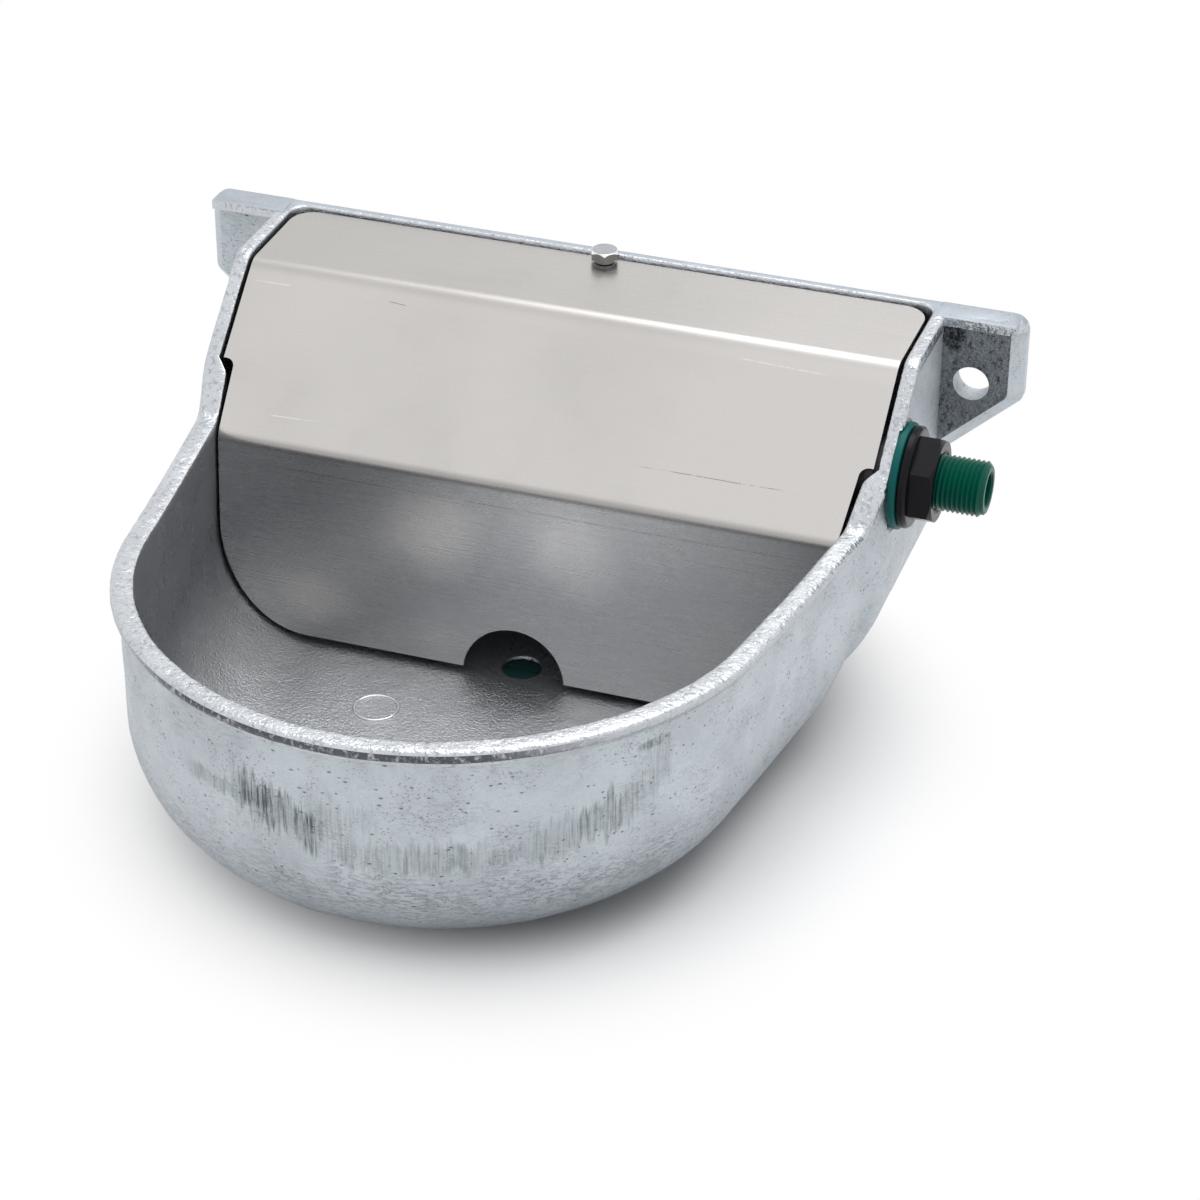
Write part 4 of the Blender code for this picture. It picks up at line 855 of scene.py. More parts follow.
def soften(item: bpy.types.Object, width: float, segments: int = 2, degrees: float = 35.0) -> None:
    """Round an object's sharp edges, and keep its flats flat.

    Args:
        item: The object.
        width: How far the rounding reaches from an edge, in metres.
        segments: Its steps.
        degrees: The angle beyond which an edge is sharp.
    """
    modifier = item.modifiers.new("soften", "BEVEL")
    modifier.width = width
    modifier.segments = segments
    modifier.limit_method = "ANGLE"
    modifier.angle_limit = math.radians(degrees)
    settle(item, 50.0)
    modifier = item.modifiers.new("flats", "WEIGHTED_NORMAL")
    modifier.keep_sharp = True
    settle(item, None)


def grown(name: str, graph: Graph, source: bpy.types.Object, values: dict[str, object]) -> None:
    """Run a geometry tree on an object and keep the plain mesh that it makes.

    Args:
        name: The modifier's name.
        graph: The tree, whose inputs are set by their sockets' identifiers.
        source: The object that the tree reads and whose mesh it replaces.
        values: Input values by the sockets' names.
    """
    modifier = source.modifiers.new(name, "NODES")
    modifier.node_group = graph.tree
    for socket in graph.tree.interface.items_tree:
        if socket.item_type == "SOCKET" and socket.in_out == "INPUT" and socket.name in values:
            modifier[socket.identifier] = values[socket.name]
    settle(source)


def geometry_graph(name: str, inputs: Sequence[tuple[str, str]],
                   ) -> tuple[Graph, Made, bpy.types.Node]:
    """Start a geometry tree.

    Args:
        name: The tree's name.
        inputs: The names and socket types of its inputs after the geometry.

    Returns:
        The graph, its Group Input node and its Group Output node.
    """
    tree = bpy.data.node_groups.new(name, "GeometryNodeTree")
    tree.interface.new_socket("Geometry", in_out="INPUT", socket_type="NodeSocketGeometry")
    for label, kind in inputs:
        tree.interface.new_socket(label, in_out="INPUT", socket_type=kind)
    tree.interface.new_socket("Geometry", in_out="OUTPUT", socket_type="NodeSocketGeometry")
    graph = Graph(tree)
    return graph, graph.add("NodeGroupInput"), graph.add("NodeGroupOutput").node


def end_graph(graph: Graph, given: Made, result: bpy.types.Node, shape: Signal) -> None:
    """End a geometry tree with real meshes in its Finish.

    Args:
        graph: The tree.
        given: Its Group Input node, which has a Finish.
        result: Its Group Output node.
        shape: The geometry that it made.
    """
    real = graph.add("GeometryNodeRealizeInstances", None, {"Geometry": shape})
    dressed = graph.add("GeometryNodeSetMaterial", None, {
        "Geometry": real.out("Geometry"), "Material": given.out("Finish")})
    graph.tree.links.new(dressed.out("Geometry").socket, result.inputs[0])


def node_copy(node: str, name: str, material: bpy.types.Material, edge: float) -> bpy.types.Object:
    """Make a smooth-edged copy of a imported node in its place.

    Args:
        node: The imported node.
        name: The copy's name.
        material: Its material.
        edge: How far its edges are rounded, in metres.

    Returns:
        The copy, which stands for the node.
    """
    bm = bmesh.new()
    bm.from_mesh(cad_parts[node].data)
    bmesh.ops.remove_doubles(bm, verts=bm.verts, dist=0.00001)
    flat = math.radians(1.0)
    bmesh.ops.dissolve_limit(bm, angle_limit=flat, verts=bm.verts, edges=bm.edges)
    item = make_piece(name, bm, [material])
    soften(item, edge, 2, 32.0)
    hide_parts(node)
    return item


# The casting


@dataclass
class WallLine:
    """One upright surface of the casting's wall, seen in plan."""

    rear_half_width: float
    shoulder_y: float
    shoulder_length: float
    outset: float
    back_y: float
    corner_radius: float
    mouth_half_width: float = 0.1247
    nose_half_width: float = 0.1110
    nose_length: float = 0.1145
    nose_y: float = -0.1720
    shoulder_front_y: float = -0.0870
    corner_fill: int = 9

    def tangent_angle(self) -> float:
        """Find where on the nose ellipse the straight side touches it.

        Returns:
            The angle in radians.
        """
        across = self.mouth_half_width / self.nose_half_width
        along = (self.nose_y - self.shoulder_front_y) / self.nose_length
        return math.atan2(along, across) + math.acos(1.0 / math.hypot(across, along))

    def nose_point(self, angle: float) -> tuple[Vector, Vector]:
        """Find a point of the nose ellipse.

        Args:
            angle: Where on the ellipse, in radians.

        Returns:
            The point and the outward direction there.
        """
        point = Vector((self.nose_half_width * math.cos(angle),
                        self.nose_y - self.nose_length * math.sin(angle)))
        outward = Vector((math.cos(angle) / self.nose_half_width,
                          -math.sin(angle) / self.nose_length))
        return point, outward.normalized()

    def side(self, y: float, inset: float) -> Vector:
        """Find a point of the wall's side.

        Args:
            y: How far along the side it lies.
            inset: How far it is drawn in from the surface.

        Returns:
            The point in plan.
        """
        touch, out = self.nose_point(self.tangent_angle())
        share = smooth_share((self.shoulder_y - y) / self.shoulder_length)
        front_x = touch.x - out.y / out.x * (y - touch.y) + self.outset / out.x
        outward = Vector((1.0, 0.0)).lerp(out, share)
        x = self.rear_half_width + (front_x - self.rear_half_width) * share
        return Vector((x, y)) - inset * outward

    def half_plan(self, inset: Callable[[float], float], back_inset: float,
                  stations: Sequence[float],
                  steps: tuple[int, int, int]) -> list[tuple[Vector, float]]:
        """Trace the right half of a ring in plan.

        Args:
            inset: How far the ring is drawn in from the surface at each y.
            back_inset: The same along the back.
            stations: The y places of the side's points, rear to front.
            steps: Points along the back, the rear corner and the nose.

        Returns:
            Plan points with the y that rules each one's height, from the back's middle to the nose.
        """
        back_steps, corner_steps, nose_steps = steps
        back_y = self.back_y - back_inset
        radius = self.corner_radius + back_inset / 2
        centre = (self.rear_half_width - inset(back_y) - radius, back_y - radius)
        plan = [(Vector((centre[0] * step / back_steps, back_y)), back_y)
                for step in range(back_steps)]
        corner = arc(centre, radius, math.pi / 2, 0.0, corner_steps)
        plan += [(Vector(point), back_y) for point in corner]
        gap = (stations[0] - centre[1]) / self.corner_fill
        filled = [centre[1] + gap * step for step in range(1, self.corner_fill)]
        plan += [(self.side(y, inset(y)), y) for y in (*filled, *stations)]
        first = self.tangent_angle()
        for step in range(nose_steps + 1):
            point, outward = self.nose_point(first + (math.pi / 2 - first) * step / nose_steps)
            plan.append((point + (self.outset - inset(point.y)) * outward, point.y))
        return plan


@dataclass
class BowlCasting:
    """The cast bowl: a lofted shell with a beaded rim, two bolt ears and its holes."""

    base_z: float = -0.1077
    rear_rim: float = 0.1350
    foot_rim: float = 0.0903
    nose_rim: float = 0.0955
    rim_bend_y: float = -0.0490
    rim_blend: float = 0.0060
    rim_rise_y: float = -0.1400
    slope: float = math.radians(41.6)
    floor: float = 0.0060
    front_wall: float = 0.0055
    rear_wall: float = 0.0047
    back_wall: float = 0.0035
    rear_half_width: float = 0.1296
    belly: float = 0.0450
    rear_belly: float = 0.0600
    back_fillet: float = 0.0120
    bead_height: float = 0.0050
    front_bead: float = 0.0029
    rear_bead: float = 0.0010
    lip_round: float = 0.0013
    plan_steps: tuple[int, int, int] = (16, 8, 66)
    side_spacing: float = 0.0020
    fillet_steps: int = 20
    wall_rows: int = 22
    ear_span: float = 0.1652
    ear_depth: float = 0.0095
    ear_side_depth: float = 0.0040
    ear_chamfer: float = 0.0050
    bolt_x: float = 0.1461
    bolt_radius: float = 0.0069
    lip_height: float = 0.0035
    lip_reach: float = 0.0025
    screw_y: float = -0.0077
    boss_top: float = 0.0243
    boss_radius: float = 0.0070
    inlet_y: float = -0.0660
    inlet_z: float = -0.0109
    drain_y: float = -0.1025
    drain_radius: float = 0.00735
    ear_low: float = 0.1020
    ear_foot: float = 0.0715
    ear_low_round: float = 0.0045
    ear_top_round: float = 0.0060
    ear_edge: float = 0.0009
    pad_radius: float = 0.0165
    pad_height: float = 0.0015
    spot_radius: float = 0.0205
    spot_depth: float = 0.0003
    inlet_radius: float = 0.010778
    tapped_radius: float = 0.0033
    wave_scale: float = 55.0
    wave_depth: float = 0.00022
    lump_scale: float = 330.0
    lump_depth: float = 0.00012
    # Where the relief of the skin stays calm, and where the zones of the finishes end
    still_depth: float = 0.0005
    bead_fade: float = 0.001
    inner_bead: float = 0.35
    calm_x: float = 0.115
    calm_y: float = -0.0130
    calm_length: float = 0.006
    calm_share: float = 0.12
    ear_zone_y: float = -0.0125
    corner_zone_y: float = -0.012
    back_zone_y: float = -0.0003
    zone_slack: float = 0.0008

    def __post_init__(self) -> None:
        """Lay out the wall's two surfaces and the places where the side is sampled."""
        self.outer = WallLine(self.rear_half_width + self.rear_wall, -0.0770, 0.0200,
                              self.front_wall, 0.0, 0.0015)
        self.inner = WallLine(self.rear_half_width, -0.0812, 0.0032, 0.0, -self.back_wall, 0.0065)
        last = self.inner.nose_point(self.inner.tangent_angle())[0].y
        first = -0.031
        count = round((first - last) / self.side_spacing)
        self.stations = [first + (last - first) * step / count for step in range(count)]

    def rim_z(self, y: float) -> float:
        """Find the height of the rim.

        Args:
            y: The place along the bowl, 0 at the wall.

        Returns:
            The z of the rim's top.
        """
        slope = self.rear_rim - math.tan(self.slope) * (self.rim_bend_y - y)
        front_y = self.inner.nose_y - self.inner.nose_length
        rise = smooth_share((self.rim_rise_y - y) / (self.rim_rise_y - front_y))
        low = self.foot_rim + (self.nose_rim - self.foot_rim) * rise
        upper = soft_lower(self.rear_rim, slope, self.rim_blend / 2)
        return self.base_z - soft_lower(-upper, -low, self.rim_blend / 2)

    def belly_radius(self, y: float) -> float:
        """Return the outer fillet's radius between wall and base."""
        share = smooth_share((-0.080 - y) / 0.040)
        return self.rear_belly + (self.belly - self.rear_belly) * share

    def bead_reach(self, y: float) -> float:
        """Return how far the bead stands out, which is less along the rear."""
        share = smooth_share((self.outer.shoulder_y - y) / self.outer.shoulder_length)
        return self.rear_bead + (self.front_bead - self.rear_bead) * share

    def _ring(self, line: WallLine, height: Callable[[float], float],
              inset: Callable[[float], float] = lambda y: 0.0,
              back_inset: float = 0.0) -> np.ndarray:
        """Return the right half of a ring as rows of x, y and z."""
        plan = line.half_plan(inset, back_inset, self.stations, self.plan_steps)
        return np.array([(point.x, point.y, height(y)) for point, y in plan])

    def _outward(self, half: np.ndarray) -> np.ndarray:
        """Find the outward directions along a half ring, none on the flat back.

        Args:
            half: The ring's points, one a row.

        Returns:
            Level directions, one a row.
        """
        before = np.vstack([half[:1], half[:-1]])
        after = np.vstack([half[1:], half[-1:]])
        along = (after - before)[:, :2]
        out = np.column_stack([-along[:, 1], np.minimum(along[:, 0], 0.0), np.zeros(len(half))])
        out /= np.maximum(np.linalg.norm(out[:, :2], axis=1), 1e-9)[:, None]
        out[: self.plan_steps[0] + 1] = 0.0
        return out

    def _bead_rows(self) -> list[np.ndarray]:
        """Lay out the bead, from the ledge under it to its top.

        Returns:
            Its half rings.
        """
        base = self._ring(self.outer, self.rim_z)
        out = self._outward(base)
        reach = np.array([self.bead_reach(y) for y in base[:, 1]])[:, None]
        rows = []
        for across, drop in BEAD_PROFILE:
            row = base + out * reach * across
            row[:, 2] -= self.bead_height * drop
            rows.append(row)
        return rows

    def _rows(self) -> list[np.ndarray]:
        """Lay out the shell: up the outside, over the bead and down the inside.

        Returns:
            Every half ring.
        """
        angles = [math.pi / 2 * step / self.fillet_steps for step in range(self.fillet_steps + 1)]
        outside = []
        for angle in angles:
            up, across = 1.0 - math.cos(angle), 1.0 - math.sin(angle)
            outside.append(self._ring(
                self.outer, lambda y: self.base_z + self.belly_radius(y) * up,
                lambda y: self.belly_radius(y) * across))
        bead = self._bead_rows()
        inner_top = self._ring(self.inner, lambda y: self.rim_z(y) - self.lip_round)
        inside = []
        thick = self.front_wall
        for angle in reversed(angles):
            up, across = 1.0 - math.cos(angle), 1.0 - math.sin(angle)
            level = (self.rear_belly - thick) * up
            back = 0.0
            if level < self.back_fillet:
                rest = self.back_fillet - level
                back = self.back_fillet - math.sqrt(self.back_fillet**2 - rest**2)
            inside.append(self._ring(
                self.inner,
                lambda y: self.base_z + self.floor + (self.belly_radius(y) - thick) * up,
                lambda y: (self.belly_radius(y) - thick) * across, back))
        outer_edge = self._ring(self.outer, self.rim_z)
        inner_edge = self._ring(self.inner, self.rim_z)
        top = []
        for share, drop in LIP_PROFILE:
            row = outer_edge + (inner_edge - outer_edge) * share
            row[:, 2] -= self.lip_round * drop
            top.append(row)
        shares = np.linspace(0.0, 1.0, self.wall_rows + 2)[1:-1]
        wall_out = [outside[-1] + (bead[0] - outside[-1]) * share for share in shares]
        wall_in = [inner_top + (inside[0] - inner_top) * share for share in shares]
        return outside + wall_out + bead + top + [inner_top] + wall_in + inside

    def _shell(self, materials: Sequence[bpy.types.Material]) -> bpy.types.Object:
        """Loft the shell, its surfaces gently uneven as a casting's are.

        Args:
            materials: The materials of the zones.

        Returns:
            The closed shell without ears, boss and holes.
        """
        rows = self._rows()
        rings = []
        for row in rows:
            left = row[-2:0:-1] * (-1.0, 1.0, 1.0)
            rings.append([Vector(point) for point in np.vstack([row, left])])
        bm = skin_rings(rings)
        bmesh.ops.recalc_face_normals(bm, faces=bm.faces)
        bm.normal_update()
        moved = {}
        for vert in bm.verts:
            point, normal = vert.co, vert.normal
            if abs(normal.z) > LEVEL_FACE or point.y > -self.still_depth:
                continue
            above = point.z - self.rim_z(point.y) + self.bead_height
            on_bead = smooth_share(above / self.bead_fade)
            if self._inside(point, normal):
                on_bead *= self.inner_bead
            wave = noise.fractal(point * self.wave_scale, 1.0, 2.0, 3) * self.wave_depth
            lumps = noise.noise(point * self.lump_scale) * self.lump_depth
            relief = wave * (1.0 - 0.6 * on_bead) + lumps * (0.15 + on_bead)
            if abs(point.x) > self.calm_x:
                away = smooth_share((self.calm_y - point.y) / self.calm_length)
                relief *= self.calm_share + (1.0 - self.calm_share) * away
            moved[vert] = point + normal * relief
        for vert, place in moved.items():
            vert.co = place
        return make_piece("zinc_casting", bm, materials)

    @staticmethod
    def _inside(point: Vector, normal: Vector) -> bool:
        """Say whether a place on the shell belongs to its inner surface.

        Args:
            point: The place.
            normal: The surface's normal there.

        Returns:
            Whether the normal looks into the bowl.
        """
        radial = Vector((point.x, point.y + 0.16, 0.0))
        if point.y > -0.15:
            on_side = point.y < -0.05 or abs(normal.x) > abs(normal.y)
            radial = Vector((point.x, 0.0, 0.0)) if on_side else Vector((0.0, 1.0, 0.0))
        return normal.dot(radial) < 0.0

    def _ear_outline(self, inset: float) -> list[Point]:
        """Trace the right ear in XZ.

        Args:
            inset: How far the outline is drawn in from the ear's side and slanted foot.

        Returns:
            The outline.
        """
        side, top = self.ear_span - inset, self.rear_rim + self.base_z + 0.0002
        low, foot = self.base_z + self.ear_low, self.base_z + self.ear_foot
        root = self.rear_half_width + self.rear_wall / 2
        slant = math.atan2(low - foot, self.ear_span - root)
        shift = inset / math.cos(slant)
        low += inset * (1.0 - math.sin(slant)) / math.cos(slant)
        small, large = self.ear_low_round, self.ear_top_round
        corner = (side - small, low + small * (1.0 - math.sin(slant)) / math.cos(slant))
        points = [(root, foot + shift)] + arc(corner, small, slant - math.pi / 2, 0.0, 8)
        points += arc((side - large, top - large), large, 0.0, math.pi / 2, 8)
        return points + [(root, top)]

    def _ear(self, side: float) -> bpy.types.Object:
        """Build one bolt ear with its lip and hole.

        Args:
            side: 1.0 for the right ear, -1.0 for the left.

        Returns:
            The ear, ready to be joined to the shell.
        """
        depths = ((0.00002, 0.0), (self.ear_side_depth, 0.0), (self.ear_depth, self.ear_chamfer))
        rings = [[Vector((side * x, -depth, z)) for x, z in self._ear_outline(inset)]
                 for depth, inset in depths]
        ear = make_piece("ear", skin_rings(rings))
        root, end = self.rear_half_width + self.rear_wall / 2, self.ear_span - 0.0030
        rim, front = self.rear_rim + self.base_z, -self.ear_depth - self.lip_reach
        top, low = rim + 0.00012, rim - self.lip_height
        outline = [(side * root, low), (side * end, low), (side * end, top), (side * root, top)]
        lip = make_piece("lip", extruded(outline, -self.ear_side_depth, front, True))
        combine(ear, lip, "UNION")
        soften(ear, self.ear_edge, 3, 30.0)
        hole = turned([(self.bolt_radius, -0.01), (self.bolt_radius, 0.02)])
        place = Matrix.Translation((side * self.bolt_x, 0.0, 0.0))
        place = place @ Matrix.Rotation(math.pi / 2, 4, "X")
        combine(ear, make_piece("hole", hole, place=place), "DIFFERENCE")
        return ear

    def _boss(self) -> bpy.types.Object:
        """Build the boss behind the cover that takes its screw.

        Returns:
            The boss, ready to be joined to the shell.
        """
        bm = bmesh.new()
        for x, y in arc((0.0, self.screw_y), self.boss_radius, math.pi, math.tau, 24):
            bm.verts.new((x, y, self.boss_top))
            bm.verts.new((x, y, self.boss_top - self.boss_radius))
        for x, drop in ((self.boss_radius, 0.0), (0.004, 0.028)):
            for side in (-1.0, 1.0):
                bm.verts.new((side * x, -self.back_wall / 2, self.boss_top - drop))
        bmesh.ops.convex_hull(bm, input=bm.verts)
        return make_piece("boss", bm)

    def _ear_zone(self, centre: Vector, normal: Vector) -> Zone:
        """Find the zone of a face on an ear or its lip.

        Args:
            centre: The face's middle.
            normal: Its normal.

        Returns:
            The zone; only the front of the right ear is the dark web, a painted dark reflection.
        """
        lip_z = self.rear_rim + self.base_z - self.lip_height - self.zone_slack
        if centre.z <= lip_z:
            return Zone.WEB if normal.y < EAR_FRONT and centre.x > 0.0 else Zone.SKIN
        if normal.y < LIP_FRONT:
            return Zone.BEAD
        return Zone.TOP if normal.z > LIP_TOP else Zone.SKIN

    def _rim_zone(self, centre: Vector, normal: Vector, below: float) -> Zone:
        """Find the zone of a face on the rim or its bead.

        Args:
            centre: The face's middle.
            normal: Its normal.
            below: How far under the rim's top it lies.

        Returns:
            The zone.
        """
        if self._inside(centre, normal) and abs(normal.z) < RIM_STEEP:
            return Zone.INSIDE
        level, upright = normal.z > RIM_TOP, normal.z < RIM_SIDE
        if centre.y > self.corner_zone_y and (level or upright):
            return Zone.TOP if level else Zone.SKIN
        # The bead's lower part takes the UNDER zone, a painted shade under the bead.
        share = UNDER_SHARES[normal.z >= BEAD_TURN]
        return Zone.UNDER if below > self.bead_height * share else Zone.BEAD

    def _zone(self, centre: Vector, normal: Vector) -> Zone:
        """Find the zone of a face.

        Args:
            centre: The face's middle.
            normal: Its normal.

        Returns:
            The zone.
        """
        ear_x = self.rear_half_width + self.rear_wall - self.zone_slack / 2
        if abs(centre.x) > ear_x and centre.y > self.ear_zone_y:
            return self._ear_zone(centre, normal)
        below, off_back = self.rim_z(centre.y) - centre.z, centre.y < self.back_zone_y
        if below < self.bead_height * BEAD_SHARE and off_back:
            return self._rim_zone(centre, normal, below)
        in_bowl = off_back and normal.z > OVERHANG and self._inside(centre, normal)
        return Zone.INSIDE if in_bowl or normal.z > FACES_UP else Zone.SKIN

    def _set_zones(self, item: bpy.types.Object) -> None:
        """Give each face the material of the zone that it lies in."""
        for face in item.data.polygons:
            face.material_index = self._zone(face.center, face.normal).value

    def build(self, finishes: dict[Zone, bpy.types.Material]) -> bpy.types.Object:
        """Build the whole casting.

        Args:
            finishes: The material of each zone.

        Returns:
            The casting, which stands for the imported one.
        """
        materials = [finishes[zone] for zone in Zone]
        bowl = self._shell(materials)
        for side in (-1.0, 1.0):
            combine(bowl, self._ear(side), "UNION")
        combine(bowl, self._boss(), "UNION")
        inlet = Matrix.Translation((0.0, self.inlet_y, self.inlet_z))
        inlet = inlet @ Matrix.Rotation(math.pi / 2, 4, "Y")
        outer_x = self.rear_half_width + self.rear_wall
        rounds = (
            ("pad", "UNION", self.pad_radius, -0.0035, self.pad_height),
            ("spot face", "DIFFERENCE", self.spot_radius, -self.spot_depth, 0.006),
            ("inlet hole", "DIFFERENCE", self.inlet_radius, -0.01, 0.01))
        for name, operation, radius, start, end in rounds:
            tool = turned([(radius, outer_x + start), (radius, outer_x + end)])
            combine(bowl, make_piece(name, tool, place=inlet), operation)
        drain = turned([(self.drain_radius, -0.003), (self.drain_radius, self.floor - 0.0006),
                        (self.drain_radius + 0.0009, self.floor + 0.0003)])
        place = Matrix.Translation((0.0, self.drain_y, self.base_z))
        combine(bowl, make_piece("drain hole", drain, place=place), "DIFFERENCE")
        tapped = turned([(self.tapped_radius, -0.016), (self.tapped_radius, 0.003)], 32)
        place = Matrix.Translation((0.0, self.screw_y, self.boss_top))
        combine(bowl, make_piece("screw hole", tapped, place=place), "DIFFERENCE")
        close_gaps(bowl)
        self._set_zones(bowl)
        bowl.data.set_sharp_from_angle(angle=math.radians(40.0))
        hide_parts("bowl_casting")
        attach(bowl, "bowl")
        return bowl


# The bead as shares of its reach and height, and the rim's top as shares of its width and round
BEAD_PROFILE = (
    (0.0, 1.80), (0.16, 1.62), (0.18, 1.28), (0.02, 1.12), (0.14, 1.0), (0.50, 0.95), (0.78, 0.82),
    (0.93, 0.67), (1.0, 0.50), (0.98, 0.35), (0.88, 0.22), (0.70, 0.11), (0.45, 0.04), (0.2, 0.01))
LIP_PROFILE = ((0.05, 0.0), (0.28, -0.02), (0.52, 0.02), (0.76, 0.06), (0.88, 0.22), (0.96, 0.52))

# Parts of a face's unit normal that tell the casting's zones apart
LEVEL_FACE = 0.999
LIP_FRONT, LIP_TOP, EAR_FRONT = -0.25, 0.5, -0.8
RIM_TOP, RIM_SIDE, RIM_STEEP, BEAD_TURN = 0.93, 0.3, 0.5, 0.62
FACES_UP, OVERHANG = 0.12, -0.05

# How far down the rim's zones reach, as shares of the bead's height
BEAD_SHARE = 1.12
UNDER_SHARES = (0.27, 0.95)


@dataclass
class ZincPimples:
    """Beads of zinc and dross that dot the casting, scattered by a geometry tree."""

    density: float = 9000.0
    smallest: float = 0.00012
    largest: float = 0.00030
    seed: int = 7

    def build(self, casting: BowlCasting, bowl: bpy.types.Object,
              material: bpy.types.Material) -> bpy.types.Object:
        """Scatter the pimples over a copy of the casting's outer skin.

        Args:
            casting: The casting's sizes.
            bowl: What the pimples sit on.
            material: Their material.

        Returns:
            The pimples as one plain mesh.
        """
        graph, given, result = geometry_graph("zinc_pimples", (
            ("Density", "NodeSocketFloat"), ("Smallest", "NodeSocketFloat"),
            ("Largest", "NodeSocketFloat"), ("Seed", "NodeSocketInt"),
            ("Finish", "NodeSocketMaterial")))
        spots = graph.add("GeometryNodeDistributePointsOnFaces", {"distribute_method": "RANDOM"}, {
            "Mesh": given.out("Geometry"), "Density": given.out("Density"),
            "Seed": given.out("Seed")})
        size = graph.add("FunctionNodeRandomValue", {"data_type": "FLOAT"}, {
            "Min": given.out("Smallest"), "Max": given.out("Largest"), "Seed": given.out("Seed")})
        dome = graph.add("GeometryNodeMeshIcoSphere", None, {"Radius": 1.0, "Subdivisions": 1})
        flat = graph.add("GeometryNodeTransform", None, {
            "Geometry": dome.out("Mesh"), "Scale": (1.0, 1.0, 0.55)})
        placed = graph.add("GeometryNodeInstanceOnPoints", None, {
            "Points": spots.out("Points"), "Instance": flat.out("Geometry"),
            "Rotation": spots.out("Rotation"), "Scale": size.out(1)})
        end_graph(graph, given, result, placed.out("Instances"))
        bm = bmesh.new()
        bm.from_mesh(bowl.data)
        away = [face for face in bm.faces if face.material_index != Zone.SKIN.value
                or face.normal.z < -0.9 or face.calc_center_median().y > casting.inlet_y]
        bmesh.ops.delete(bm, geom=away, context="FACES")
        pimples = make_piece("zinc_pimples", bm)
        grown("zinc_pimples", graph, pimples, {
            "Density": self.density, "Smallest": self.smallest, "Largest": self.largest,
            "Seed": self.seed, "Finish": material})
        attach(pimples, "bowl")
        return pimples


@dataclass
class FloorMark:
    """The raised ring left by the pattern on the bowl's floor, swept by a geometry tree."""

    place: tuple[float, float, float] = (-0.0420, -0.1466, -0.1017)
    radius: float = 0.0083
    bead: float = 0.00060

    def build(self, material: bpy.types.Material) -> bpy.types.Object:
        """Sweep a small round profile round a circle and sink it halfway into the floor.

        Args:
            material: The ring's material, its near-white colour a painted highlight.

        Returns:
            The ring as one plain mesh.
        """
        graph, given, result = geometry_graph("floor_mark", (
            ("Ring Radius", "NodeSocketFloat"), ("Bead Radius", "NodeSocketFloat"),
            ("Place", "NodeSocketVector"), ("Finish", "NodeSocketMaterial")))
        path = graph.add("GeometryNodeCurvePrimitiveCircle", {"mode": "RADIUS"}, {
            "Resolution": 96, "Radius": given.out("Ring Radius")})
        profile = graph.add("GeometryNodeCurvePrimitiveCircle", {"mode": "RADIUS"}, {
            "Resolution": 12, "Radius": given.out("Bead Radius")})
        tube = graph.add("GeometryNodeCurveToMesh", None, {
            0: path.out("Curve"), 1: profile.out("Curve")})
        moved = graph.add("GeometryNodeTransform", None, {
            "Geometry": tube.out("Mesh"), "Translation": given.out("Place")})
        end_graph(graph, given, result, moved.out("Geometry"))
        ring = make_piece("floor_mark_ring", bmesh.new())
        grown("floor_mark", graph, ring, {
            "Ring Radius": self.radius, "Bead Radius": self.bead, "Place": self.place,
            "Finish": material})
        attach(ring, "bowl")
        return ring


# The cover and its screw


